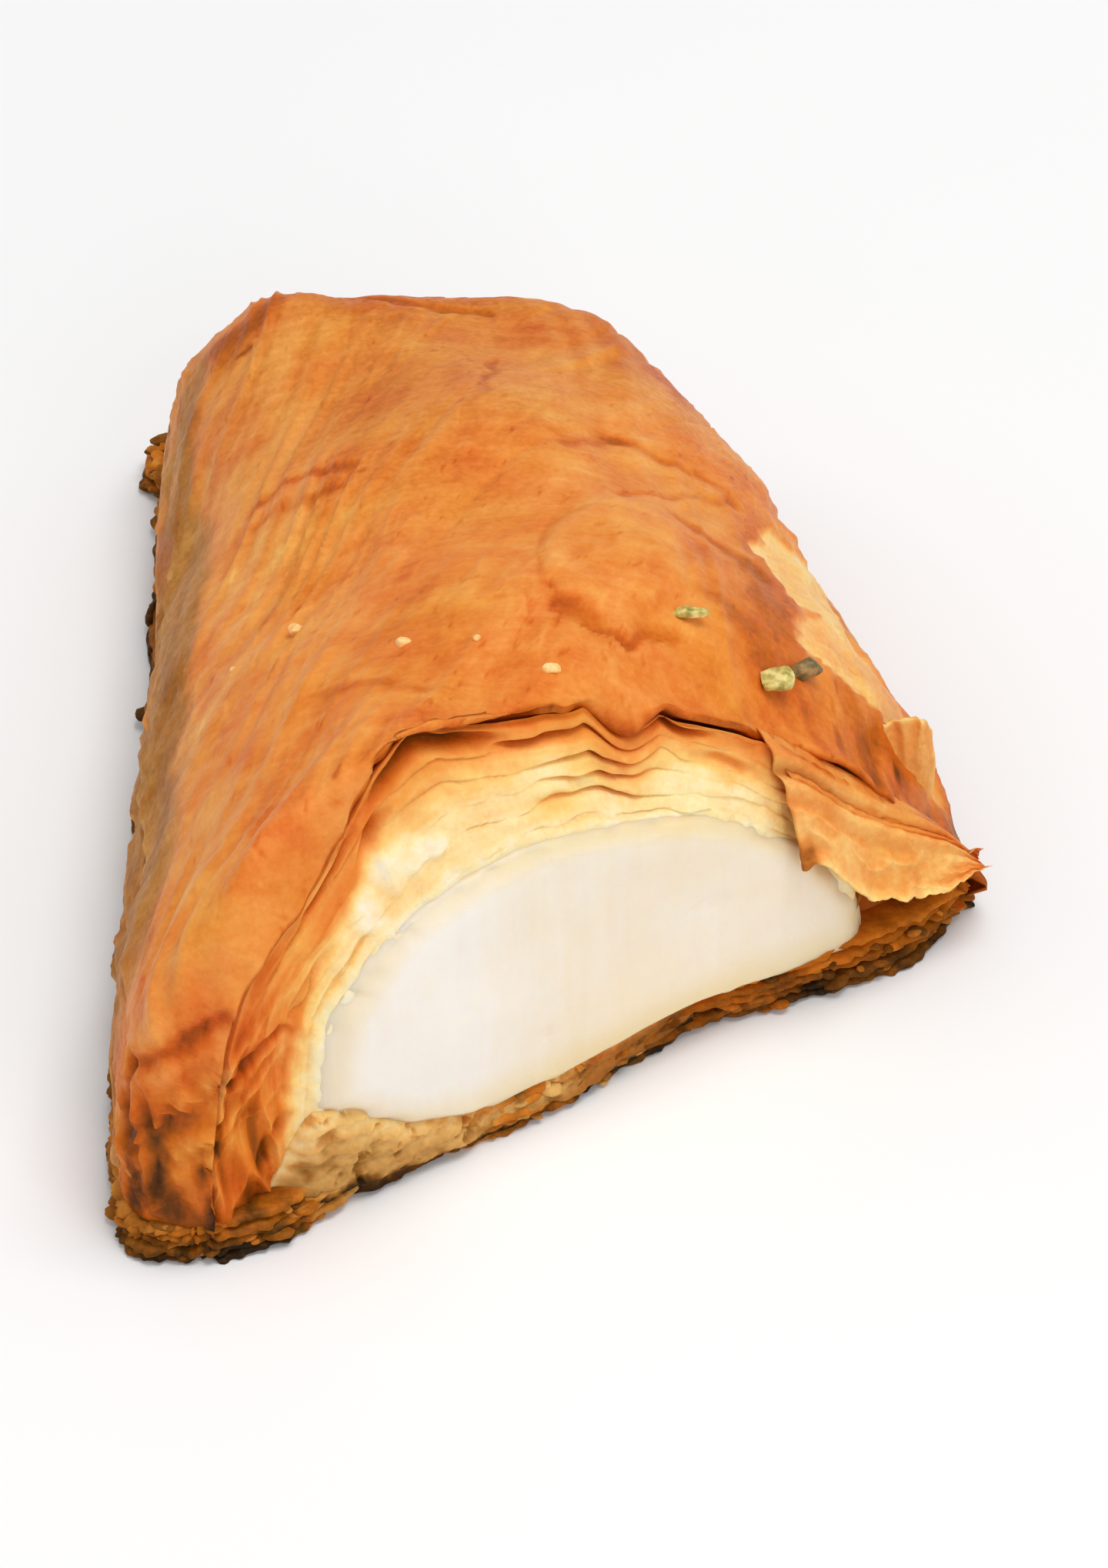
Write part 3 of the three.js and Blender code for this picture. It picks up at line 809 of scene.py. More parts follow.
def blister(face):
    """A low blister right of the middle, paler inside, partly as a thinner sheet and partly as a painted
    highlight, with a crisp left and lower rim and painted shade at its foot.
    """
    x, y = face.x - BLISTER_PLACE[0], face.y - BLISTER_PLACE[1]
    reach = np.hypot((x - 0.12 * y) / BLISTER_SIZE[0], y / BLISTER_SIZE[1])
    reach += 0.1 * noise(face.x / 4.3, face.y / 4.3, 19) + 0.03 * noise(face.x / 1.3, face.y / 1.3, 18)
    inside = fall(reach, 1.05, 0.3)
    rim_side = fall(face.x + 0.25 * face.y, 3.5, 5)
    face.relief += 0.5 * inside + 0.16 * bump(reach, 0.9, 0.16) * rim_side
    # Paler inside, partly as a thinner sheet and partly as a painted highlight.
    face.bake -= inside * (0.06 + 0.05 * noise(face.y / 1.3 + 0.3 * face.x, face.x / 7, 20))
    # Painted shade at the foot of the raised rim on its left and lower side.
    face.bake += 0.1 * bump(reach, 1.04, 0.08) * rim_side


def streak(face):
    """Browner streaks that wander, fade in and out, and stop short of black; the two above the lip are
    painted shade.
    """
    x, y = face.x, face.y
    wander_x = x + 0.5 * noise(x / 1.7, y / 1.7, 46) + noise(x / 5, y / 5, 52)
    wander_y = y + 0.5 * noise(x / 1.7, y / 1.7, 47) + noise(x / 5, y / 5, 54)
    strength = 1.25 * clamp(1.0 + 0.8 * layered(x / 3.5, y / 3.5, 56, 3), 0.2, 1.5)
    for start, end, width, browner, higher in STREAKS:
        here = stroke(wander_x, wander_y, start, end, width)
        darkest = 0.7 if browner <= 0.2 else 0.88
        face.bake += np.minimum(browner * here * strength, 0.75 * np.maximum(darkest - face.bake, 0))
        face.relief += higher * here


def tear(face):
    """The torn band on the right edge: the glazed sheet ends, paler ones show below it in steps."""
    u, v, along = face.u, face.v, face.along
    border = spline(PALE_BAND, (v - 0.1) / 0.5) + 0.012 * noise(along / 3, 0, 29)
    border += 0.006 * noise(along / 0.9, 0, 31) + 0.05 * face.layered(6, 6, 32, 4)
    past = (u - border) * PLAN_WIDTH
    end = v + 0.04 * face.layered(4, 4, 34, 3)
    torn = smooth(past / 0.9) * rise(end, 0.09, 0.02) * fall(end, 0.62, 0.05)
    torn *= fall(u, 0.99 + 0.004 * noise(along / 4, 0, 30), 0.01)
    steps = sum(rise(past - 0.7 * noise(along / 2.4, k, 33), 1.7 * k, 0.3) for k in range(4))
    face.relief -= torn * (0.25 + 0.16 * steps)
    paler = 0.17 + 0.02 * steps + 0.07 * face.layered(2.5, 6, 35, 3)
    face.bake = mix(face.bake, paler + 0.05 * fall(v, 0.32, 0.15), torn)
    face.tan += 0.1 * torn * smooth(face.noise(2, 3, 37) + 0.4)


def soak_and_shade_left_wall(face):
    """The left side is soaked and lumpy, more so towards the back; its dark soaked colour is partly painted
    shade of the left wall, which faces away from the light.
    """
    across, along = face.across, face.along
    limit = 0.055 + 0.045 * rise(face.v, 0.1, 0.5) + 0.035 * layered(along / 7, across / 7, 36, 4)
    low = fall(face.u, limit, 0.04) * rise(along, 12, 12)
    face.relief += 0.35 * low * face.layered(2.6, 3.2, 38, 4)
    low *= smooth(1.0 + 1.1 * layered(along / 10, face.z / 5, 40, 4))
    # The dark soaked colour is partly painted shade of the left wall, which faces away from the light.
    face.bake = mix(face.bake, 0.56 + 0.15 * face.layered(3.4, 6, 39, 4), 0.9 * low)
    face.tan = np.maximum(face.tan, np.maximum(0.8 * low, 0.17 * rise(face.v, 0.45, 0.3)))


def open_sheets(face):
    """Open edges of sheets down the side walls and the back, browner just below each edge, partly as painted
    shade, and paler and golden on the edge itself.
    """
    u, v, along = face.u, face.v, face.along
    on_sides = fall(v, 0.955, 0.03) * rise(along, 12, 6)
    on_back = rise(v, 0.975, 0.01) * rise(u, 0.08, 0.05) * fall(u, 0.92, 0.05)
    for sheets, here, place in (
        (LEFT_SHEETS, on_sides * (u < 0.3), along),
        (RIGHT_SHEETS, on_sides * (u > 0.7), along + NEXT_WALL),
        (BACK_SHEETS, on_back, face.x + 2 * NEXT_WALL),
    ):
        for height, reach in sheets:
            edge = height + 1.1 * noise(place / 15, height, 171) + 0.3 * layered(place / 3.4, height, 173, 4)
            above = face.z - edge
            present = here * smooth(0.7 + 1.3 * noise(place / 16, height, 175))
            lift = rise(above, -0.15, 0.3) * clamp(1 - above / 5) ** 1.6
            face.relief += reach * present * lift
            # Darker just below each edge, partly browning and partly painted shade; paler and golden on the
            # edge.
            face.bake += present * (0.17 * bump(above, -0.35, 0.5) - 0.08 * bump(above, 0.25, 0.35))


def pinch(face):
    """The pinched pleats and folds of the tip on the left wall, their creases darkened as painted shade, and
    the deep orange streaks of its corner.
    """
    x, z, on_left = face.x, face.z, fall(face.u, 0.3, 0.1)
    for relief, bake in (tip_pleats(-face.along, z), folded(face.along, z, WALL_FOLDS)):
        face.relief += relief * on_left
        face.bake += bake * on_left
    corner = rise(x, -27.6, 1.6) * fall(z, 22, 6) * fall(face.v, 0.13, 0.04)
    furrows = noise((x + 0.12 * z) / 0.55, z / 7, 48)
    face.relief -= 0.3 * corner * (1 + 0.8 * furrows)
    face.bake += corner * (0.1 + 0.1 * furrows) + 0.1 * fall(z, 7.5, 4)


CRUST_LAYERS = (wrinkle, crinkle, flake, brown, blister, streak, tear, soak_and_shade_left_wall, open_sheets, pinch)


def crust_grid():
    """Values of u and v, closer together near the cut and on the side walls."""
    fine = np.linspace(0, 1, 2000) ** 0.5
    ridge = crust_top(0.5, fine)
    places = even_places(ridge, CRUST_BACK, 1 + 1.2 * fall(fine[1:], 0.05, 0.03))
    rows = between(fine, places)
    fine = 0.5 * (1 - np.cos(np.linspace(0, np.pi, 1600)))
    u = []
    for v in rows:
        section = crust_top(fine, v)
        places = even_places(section, CRUST_ACROSS, 1 + 0.8 * fall(section[1:, 2], 15, 4))
        u.append(between(fine, places))
    return np.array(u), np.broadcast_to(rows[:, None], (len(rows), CRUST_ACROSS))


def hang_lip(top, u, v):
    """Makes the lip at the cut ragged and lets it sag in places."""
    s = u * CUT_LENGTH
    ragged = 0.45 * noise(s / 5.5, 0, 21) + 0.22 * noise(s / 1.3, 0, 22)
    top[..., :2] += OUT * (ragged * (1 - smooth(v / 0.028)))[..., None]
    top[..., 2] += bumps(s, LIP_SAGS) * (1 - smooth(v / 0.055))


def under_lip(edge):
    """Two rows of points: the wall behind the cut, and the lip's underside that runs back to it."""
    inner = edge - [0, 0, LIP_THICKNESS]
    inner[:, 2] = np.maximum(inner[:, 2], LIP_LOWEST)
    behind = inner.copy()
    forward = (behind[:, :2] - CUT_START) @ OUT
    behind[:, :2] -= OUT * (forward + WALL_BEHIND)[:, None]
    behind[:, 2] = np.maximum(behind[:, 2] - 2.5, LIP_LOWEST)
    return np.stack([behind, inner])


def crust_floor(v):
    """The flat underside: a row of points for each value of v."""
    u = np.linspace(0.965, 0.035, FLOOR_ACROSS)
    flat = np.array([plan(u, back) for back in clamp(v, 0.06, 0.985)])
    return np.concatenate([flat, np.full(flat.shape[:2] + (1,), FLOOR_LEVEL)], axis=2)


def crust():
    u, v = crust_grid()
    base = crust_top(u, v)
    face = CrustFace(u, v, base)
    for lay in CRUST_LAYERS:
        lay(face)
    top = base + normals_of(base) * (face.relief * rise(face.z, FOOT, 1.2))[..., None]
    hang_lip(top, u, v)
    rows = np.concatenate([under_lip(top[0]), top])
    floor = crust_floor(np.concatenate([[0, 0], v[:, 0]]))
    bake = np.pad(face.bake, ((2, 0), (0, 0)), constant_values=FRONT_BAKE)
    bake = np.pad(bake, ((0, 0), (0, FLOOR_ACROSS)), constant_values=UNDER_BAKE)
    tan = np.pad(face.tan, ((2, 0), (0, FLOOR_ACROSS)))
    made = Build()
    made.tube(np.concatenate([rows, floor], axis=1), bake=bake, tan=tan)
    return made.make("crust", GLAZED, "crust", "pastry")


# The cut face: sheets pressed together between the cream and the crust's lip
SHEETS = 6
FACE_STATIONS = 560
FACE_ROWS = 130
FACE_LOWEST = 0.15

# Pockets between sheets: place along the cut, half width, share towards the crust, half share, depth
POCKETS = [
    (16.0, 1.6, 0.72, 0.12, 1.6),
    (35.0, 5.5, 0.55, 0.4, 0.6),
    (30.5, 3.0, 0.35, 0.12, 0.5),
    (22.0, 7.5, 0.885, 0.085, 2.4),
    (30.3, 5.0, 0.83, 0.055, 1.8),
    (12.0, 3.0, 0.9, 0.05, 1.2),
    (41.5, 3.5, 0.92, 0.06, 1.4),
    (45.0, 4.0, 0.7, 0.1, 0.7),
    (9.5, 3.0, 0.5, 0.06, 0.5),
    (12.5, 3.5, 0.28, 0.05, 0.4),
]

# A pocket larger than both of these is shallow where its sheets are pressed shut
WIDE_POCKET = 5.2
TALL_POCKET = 0.2

# The cave under the flap, painted dark as its shade: where it starts along the cut, and its height
CAVE_START = 55.5
CAVE_TOP = 10.5

# Smears of cream on the sheets: place along the cut, height, half sizes
SMEARS = [
    (17.0, 27.0, 2.2, 1.8),
    (14.6, 24.5, 1.3, 2.0),
    (19.8, 27.6, 2.0, 0.9),
    (12.6, 18.5, 0.9, 2.6),
    (11.5, 12.5, 1.0, 2.0),
]


def even_curve(points, count):
    """The same curve through points, evenly spaced along its length."""
    places = even_places(points, count)
    return np.stack([between(column, places) for column in points.T], -1)


def inwards(line, distance):
    """The curve, which runs from left to right, moved down to its inner side."""
    ahead = np.gradient(line, axis=0)
    ahead /= np.linalg.norm(ahead, axis=1, keepdims=True)
    return line - np.stack([-ahead[:, 1], ahead[:, 0]], -1) * distance


def cream_section(t):
    """Share of the cream's full rise at t, from its left edge at 0 to its right at 1."""
    return clamp(np.sin(np.pi * clamp(t) ** 0.68)) ** 0.5


def cream_bed(t, w):
    """Height of the sheets under the cream: w is 0 at the cut and 1 at the blunt end."""
    soaked = 7 * clamp(1 - t / 0.26) ** 1.5
    thick = 1.2 * bump(t, 0.66, 0.3)
    return CREAM_BED + (soaked + thick) * (1 - smooth(w / 0.7))


def cream_roof(t, w):
    """Height of the cream's top."""
    end = (1 - 0.97 * w**5) ** 0.5
    bed = cream_bed(t, w)
    return bed + cream_section(t) * (CREAM_BED + CREAM_RISE - bed) * end * mix(1, 0.86, w) + 0.6


def lining_curve():
    """The line round the cream, a little inside its edge, from the tip's foot to the loose corner's."""
    t = np.linspace(0, 1, 200)
    s = CUT_LENGTH * mix(CREAM_LEFT[0], CREAM_RIGHT[0], t)
    roof = np.stack([s, cream_roof(t, 0)], -1)
    start = np.array([[16.0, 0.9], [12.0, 2.4], [10.2, 6.0]])
    end = np.array([[CUT_LENGTH - 11.5, 2.6], [CUT_LENGTH - 8, 1.2]])
    return inwards(even_curve(np.concatenate([start, roof, end]), FACE_STATIONS), 1.1)


def crust_curve():
    """The line just inside the crust's lip."""
    u = 0.5 * (1 - np.cos(np.linspace(0, np.pi, 400)))
    z = crust_top(u, 0)[:, 2] + bumps(u * CUT_LENGTH, LIP_SAGS)
    line = np.stack([u * CUT_LENGTH, z], -1)[3:-3]
    line = even_curve(np.concatenate([[[0.2, 0.4]], line, [[CUT_LENGTH - 0.2, 0.8]]]), FACE_STATIONS)
    return inwards(line, mix(0.3, 0.8, smooth(line[:, 1:] / 14 - 0.3)))


class CutFace:
    """The sheets at the cut: where the points lie, and how open, smeared and hollow they are there.

    s and z are places along the cut and heights, q runs from the cream at 0 to the crust at 1, and
    length is the way along the sheets.
    """

    def __init__(self):
        inner, outer = lining_curve(), crust_curve()
        q = np.linspace(0, 1, FACE_ROWS)[:, None]
        line = mix(inner[None], outer[None], q[..., None])
        self.length, self.q = np.broadcast_arrays(lengths(mix(inner, outer, 0.6)[None], 1), q)
        self.s, self.z = line[..., 0], line[..., 1]
        self.u = clamp(self.s / CUT_LENGTH)
        self.left, self.right = fall(self.u, 0.27, 0.17), rise(self.u, 0.66, 0.12)
        self.strands = layered(self.length / 9, self.q * 16, 62, 3)
        self.part_sheets()
        self.smear_cream()
        self.hollow_out()
        self.pinch()

    def part_sheets(self):
        """Numbers the sheets and opens gaps between them; most are pressed shut."""
        length, q = self.length, self.q
        level = q * SHEETS + 0.45 * noise(length / 8, q * 3, 51) + 0.2 * noise(length / 2.6, q * 6, 53)
        self.sheet = np.floor(level)
        opened = rise(noise(length / 7, self.sheet * 3.1, 55), 0.2, 0.4)
        self.apart = 0.1 + 0.1 * self.left + 0.15 * self.right + 0.3 * opened
        self.apart += 0.85 * bump(self.u, 0.51, 0.1) * rise(q, 0.18, 0.2)
        loose = smooth(2.2 * noise(length / 5, self.sheet * 1.7, 68) - 0.3)
        self.clear = clamp(0.12 + 0.88 * bump(self.u, 0.5, 0.13) + 0.8 * loose)
        self.gap = np.abs(2 * (level - self.sheet) - 1) ** 5.6 * self.clear * rise(q, 0.04, 0.2)

    def smear_cream(self):
        """Smears cream over the lower sheets in patches, which closes their gaps."""
        s, z, q = self.s, self.z, self.q
        self.smear = fall(q, 0.2 + 0.24 * layered(self.length / 4, q * 3, 69, 3), 0.2)
        for place, height, wide, high in SMEARS:
            reach = np.hypot((s - place) / wide, (z - height) / high)
            reach += 0.3 * layered(s / 1.7, z / 1.7, 70, 3)
            self.smear = np.maximum(self.smear, fall(reach, 1.35, 1.1))
        self.gap *= 1 - self.smear

    def hollow_out(self):
        """Opens the pockets between the sheets and the cave under the flap."""
        place_here = self.s + 0.5 * noise(self.length / 1.8, self.q * 8, 65)
        share_here = self.q + 0.03 * noise(self.length / 2.5, 0, 64)
        self.hollow = np.zeros(self.s.shape)
        for place, wide, share, high, depth in POCKETS:
            here = depth * bump(place_here, place, wide) * bump(share_here, share, high)
            if wide > WIDE_POCKET and high > TALL_POCKET:
                here *= 0.5 + 0.5 * self.gap
            self.hollow = np.maximum(self.hollow, here)
        self.hollow *= 1 - self.smear
        self.cave = rise(self.s, CAVE_START, 1.5) * fall(self.z, CAVE_TOP, 2)

    def pinch(self):
        """The pleats and folds of the tip, as relief and as bake; the bake darkens their creases as painted
        shade.
        """
        near = fall(self.s, 9, 3)
        pleats, folds = tip_pleats(self.s, self.z), folded(self.s, self.z, CUT_FOLDS)
        self.pleated, self.crease_bake_and_shade = (a * near + b for a, b in zip(pleats, folds))

    def forward(self):
        """How far the face stands out: it springs back towards the crust, each sheet in its own way."""
        length, q, sheet = self.length, self.q, self.sheet
        out = 0.25 - CUT_RECESS * arch(self.u, 0) ** 2 * q**0.8 - self.gap * (0.1 + 1.5 * self.apart)
        uneven = (0.2 + 0.6 * self.apart) * (1 - 0.5 * self.left) * (0.4 + 0.6 * self.clear)
        out += uneven * noise(length / 5, sheet * 2.3, 57) + 0.13 * noise(length / 1.1, sheet * 4.1, 59)
        out += 0.35 * layered(length / 4.2, q * 3.5, 60, 3)
        out += 0.3 * self.left * rise(q, 0.3, 0.3) * self.strands
        thick = 0.28 + 0.2 * layered(self.s / 1.5, self.z / 1.5, 72, 3)
        out += self.smear * rise(q, 0.1, 0.15) * thick - 0.42 * fall(q, 0.16, 0.16)
        return np.maximum(out - self.hollow - 3.2 * self.cave + self.pleated, 1 - WALL_BEHIND)

    def browning(self):
        """Bake and tan: pale and creamy next to the cream, orange under the crust, more so on the left, with
        painted shade in the gaps, the pockets, under the lip and in the cave under the flap.
        """
        length, q, s, z, left = self.length, self.q, self.s, self.z, self.left
        shade = q + 0.1 * noise(length / 4, q * 4, 66) + 0.04 * noise(length / 0.9, q * 14, 67)
        orange = rise(shade, mix(0.45, 0.25, left), mix(0.5, 0.35, left))
        bake = 0.03 + 0.07 * smooth(shade / 0.3) + 0.34 * orange + 0.12 * self.right
        bake += 0.05 * noise(length / 2.6, self.sheet * 6.3, 61) * (0.3 + orange)
        bake += (0.04 + 0.15 * left * orange) * self.strands
        # Painted shade: darker in the gaps between sheets and in the pockets.
        bake += self.gap * (0.04 + 0.15 * self.apart) + 0.26 * self.hollow
        # Painted shade on the top sheet under the crust's lip, and the creases' painted shade.
        bake += 0.3 * rise(q, 0.93, 0.05) * bump(self.u, 0.4, 0.24) + self.crease_bake_and_shade
        bake = mix(bake, 0.02 + 0.04 * layered(s / 2.5, z / 2.5, 78, 3), self.smear)
        # The cave under the flap is painted dark as its shade.
        bake = mix(bake, 0.7, self.cave)
        # Tan on the right near the cream, and olive tan in the open gaps as painted shade.
        tan = 0.35 * self.right * (1 - q) + 0.35 * self.gap * self.apart * (1 - orange)
        tan += 0.5 * fall(self.u, 0.2, 0.06) * fall(q, 0.4, 0.2) * fall(z, 9, 4)
        return clamp(bake), clamp(tan)


def cut_face():
    face = CutFace()
    front = at_cut(face.s, face.forward(), np.maximum(face.z, FACE_LOWEST))
    behind = at_cut(face.s, -WALL_BEHIND - 0.3, np.maximum(face.z - 3 * face.q, FACE_LOWEST))
    made = Build()
    made.relief(front, behind, *face.browning())
    return made.make("cut_face", DRY, "crust")


# The cream: its cut face bulges a little and its edge is worn
CREAM_HALF = 90
CREAM_RINGS = 42
CREAM_FACE_RINGS = 50

# Share of the cut that the cream takes up, and how far its warm foot goes up
CREAM_SHARE = 0.69
WARM_FOOT = 4.5


def cream_body():
    """Rings round the cream from the cut to its blunt end."""
    half = np.linspace(0, 1, CREAM_HALF)
    half = 0.5 * (0.35 * half + 0.65 * half**2.2)
    t = np.concatenate([half, 1 - half[-2::-1]])
    rings = []
    for w in np.linspace(0, 1, CREAM_RINGS):
        xy = plan(mix(spline(CREAM_LEFT, w), spline(CREAM_RIGHT, w), t), CREAM_DEPTH * w)
        roof = np.concatenate([xy, cream_roof(t, w)[:, None]], axis=1)
        bed = np.concatenate([xy, cream_bed(t, w)[:, None]], axis=1)
        rings.append(np.concatenate([roof, bed[-2:0:-1]]))
    return rings


def cream_cut(outline):
    """Rings of the cut face and their bake: the outline drawn in to its middle, bulging, its edge worn."""
    middle = outline.mean(0)
    worn = 1 - 0.02 * (1 + layered(np.arange(len(outline)) / 7.0, 0, 77, 4))
    rings, warm = [], []
    for f in np.concatenate([np.linspace(0.02, 0.9, CREAM_FACE_RINGS), [0.93, 0.955, 0.975, 0.99, 1.0]]):
        ring = mix(middle, outline, (f * mix(1, worn, f**4))[:, None])
        s, z = (ring[:, :2] - CUT_START) @ ALONG, ring[:, 2]
        out = 0.25 + 0.45 * (1 - f**6) ** 0.5
        out += (0.1 * noise(s / 1.6, z / 18, 71) + 0.28 * noise(s / 7, z / 6, 73)) * (1 - f**8)
        out += 0.06 * layered(s / 1.9, z / 2.6, 74, 3) - 0.12 * smooth(noise(s / 3.1, z / 2.7, 76) * 4 - 2.6)
        out -= 0.5 * rise(f, 0.92, 0.08) * (0.8 + 0.6 * noise(s / 1.7, z / 1.7, 75))
        ring[:, :2] += OUT * out[:, None]
        rings.append(ring)
        bed = cream_bed(clamp((s / CUT_LENGTH - CREAM_LEFT[0]) / CREAM_SHARE), 0)
        low = 0.5 * smooth(1 - (z - bed) / WARM_FOOT)
        warm.append(np.maximum(low, 0.45 * rise(f, 0.86, 0.14)) + 0.25 * rise(s, 18, 14))
    return rings, warm


def cream():
    body = cream_body()
    rings, warm = cream_cut(body[0])
    warm += [warm[-1]] * (len(body) - 1)
    made = Build()
    made.tube(np.array(rings + body[1:]), bake=clamp(np.array(warm)))
    return made.make("cream_filling", CREAM, "cream", "cream")


# The soaked sheets that bulge out under the cream's left end, and those in the hollow under the flap,
# painted dark as its shade
SOAKED_COLUMNS, SOAKED_ROWS = 420, 90
SOAKED_START, SOAKED_END = 5.5, 42.0
SOAKED_TOP = 9.2
HOLLOW_COLUMNS, HOLLOW_ROWS = 110, 40
HOLLOW_START, HOLLOW_END = 54.5, 66.2


def soaked_wall(made):
    s, w = grid(SOAKED_COLUMNS, SOAKED_ROWS)
    s = mix(SOAKED_START, SOAKED_END, s)
    t = (s / CUT_LENGTH - CREAM_LEFT[0]) / (CREAM_RIGHT[0] - CREAM_LEFT[0])
    height = np.minimum(cream_bed(clamp(t), 0) + 0.5, SOAKED_TOP) + 0.5 * layered(s / 2.1, 0, 131, 3)
    z = mix(0.4, 1.5 + (height - 1.5) * rise(s, 4, 5), w)
    fading = fall(s, SOAKED_END, 14) * rise(s, SOAKED_START, 3)
    lumps = layered(s / 1.9, z / 1.2, 133, 4)
    sheets = np.sin(5.2 * z + 2.4 * noise(s / 3.4, z / 5, 132))
    pits = smooth((-layered(s / 1.5, z / 1.1, 135, 4) - 0.3) / 0.3)
    bulge = np.sin(np.pi * clamp(0.16 + 0.84 * w)) ** 0.5
    out = mix(-1.1, -0.5 + 1.2 * bulge + 0.7 * lumps + 0.12 * sheets - 0.4 * pits, fading)
    bottom = fall(w, 0.24 + 0.16 * layered(s / 1.6, 0, 134, 3), 0.16)
    # Darker in the dips between lumps and in the pits as painted shade.
    bake = 0.42 - 0.24 * rise(w, 0.45, 0.55) + 0.35 * clamp(-lumps) ** 0.8 + 0.2 * pits
    bake += 0.5 * bottom + 0.1 * noise(s / 5, z / 4, 136) + 0.04 * sheets + 0.15 * rise(s, 26, 10)
    tan = 0.95 - 0.4 * rise(w, 0.55, 0.4) - 0.2 * rise(s, 26, 10)
    made.relief(at_cut(s, out, z), at_cut(s, -3.5, z), clamp(bake), tan)


def sheets_under_flap(made):
    s, w = grid(HOLLOW_COLUMNS, HOLLOW_ROWS)
    s = mix(HOLLOW_START, HOLLOW_END, s)
    z = mix(1.2, 1.8 + 8.2 * rise(s, 54, 4) * fall(s, 67.5, 7), w)
    out = -0.2 - 2.2 * np.sin(np.pi * w**1.3) + 0.25 * layered(s / 2.5, z / 2, 137, 3)
    # Painted dark as the shade under the flap.
    bake = 0.68 + 0.09 * layered(s / 2, z / 3, 139, 3) + 0.1 * w
    made.relief(at_cut(s, out, z), at_cut(s, -4, z), bake, 0.15)


def soaked_sheets():
    made = Build()
    soaked_wall(made)
    sheets_under_flap(made)
    return made.make("soaked_sheets", DRY, "crust")


# The bottom sheets, ragged all round, with burnt crumbs on them
FOOT_SHEETS = 5
FOOT_STATIONS = 1000
FOOT_CRUMBS = 700

# The stretch of the cut, as shares of its length, where the crumbs are soaked
SOAKED_CRUMBS = (0.45, 0.88)

# A bottom sheet's section: way back from its edge, share of its half thickness, and extra bake;
# the points further back than FOOT_INNER keep to the rim
FOOT_INNER = 4
FOOT_SECTION = (
    (0, 0.2, 0.05), (0.35, 1, 0), (1.5, 1, 0.05), (5, 1, 0.15),
    (5, -1, 0.15), (1.5, -1, 0.05), (0.35, -1, 0), (0, -0.2, 0.05),
)


def foot():
    made = Build()
    t = np.arange(FOOT_STATIONS) / FOOT_STATIONS
    points, out = rim(t)
    along_cut = (t - (1 - CUT_LEG)) / CUT_LEG
    forward = foot_forward(t)
    length = t * RIM_LENGTH
    thick_right = bump(t, 0.79, 0.09)
    tip_side = rise(along_cut, 0.5, 0.3)
    at_tip = rise(along_cut, 0.87, 0.06) + fall(t, 0.03, 0.03) * (t < 0.1)
    left_side = fall(t, LEFT_LEG, 0.05) * smooth(t / 0.04)
    for k in range(FOOT_SHEETS):
        share = k / (FOOT_SHEETS - 1)
        reach = 0.3 + forward * (1 - 0.25 * share) - 0.3 * share
        reach += 0.7 * layered(length / 3.1, 3.3 * k, 81, 4) + 0.2 * noise(length / 0.6, k, 83)
        reach += left_side * (0.55 + 0.5 * layered(length / 6, 2.7 * k, 95, 3))
        z = mix(0.35, FOOT - 0.3 + 0.9 * thick_right, share)
        z += 0.25 * noise(length / 5, 2.1 * k, 85) + 0.12 * noise(length / 1.2, 4.0 * k, 87)
        half = 0.3 + 0.1 * noise(length / 2, 6.0 * k, 89)
        section = []
        for back, height, _ in FOOT_SECTION:
            distance = reach * (back < FOOT_INNER) - back
            level = np.maximum(z + half * height, 0.02)
            section.append(np.concatenate([points + out * distance[:, None], level[:, None]], axis=1))
        bake = 0.86 - 0.26 * share + 0.16 * layered(length / 2.3, 8.0 * k, 91, 3)
        bake -= 0.3 * tip_side * (1 - at_tip) + 0.02 * left_side
        bake += at_tip * (0.14 + 0.14 * noise(length / 1.3, 5.0 * k, 93))
        bake = bake[:, None] + [extra for _, _, extra in FOOT_SECTION]
        tan = 0.5 * left_side + 0.7 * tip_side * (1 - clamp(at_tip))
        made.tube(np.stack(section, axis=1), closed=True, bake=clamp(bake), tan=clamp(tan)[:, None])
    return made.make("bottom_sheets", DARK, "crust")


def foot_crumbs():
    made = Build()
    rng = random.Random(5)
    shape = ball(2)
    t = np.array([rng.random() for _ in range(FOOT_CRUMBS)])
    points, out = rim(t)
    forward = foot_forward(t)
    for k in range(FOOT_CRUMBS):
        along_cut = (t[k] - (1 - CUT_LEG)) / CUT_LEG
        soaked = SOAKED_CRUMBS[0] < along_cut < SOAKED_CRUMBS[1]
        size = 0.25 + 0.55 * rng.random() ** 2
        z = max(0.5 * size, rng.uniform(0.2, 2.9))
        reach = forward[k] + rng.uniform(-0.7, 0.35) - 0.15 * z
        centre = np.append(points[k] + out[k] * reach, z)
        stretch = (size * rng.uniform(0.9, 1.9), size * rng.uniform(0.8, 1.4), size * rng.uniform(0.3, 0.6))
        bake = rng.uniform(0.2, 0.7) if soaked else rng.uniform(0.58, 0.9)
        tan = 0.8 if soaked else rng.choice((0.2, 0.6))
        chip(made, centre, stretch, rng, shape, flats=5, bake=bake, tan=tan)
    for x, y, z, *size in EDGE_CRUMBS:
        chip(made, (x, y, z), size, rng, shape, bake=0.9, tan=0.4)
    return made.make("foot_crumbs", DARK, "crust")


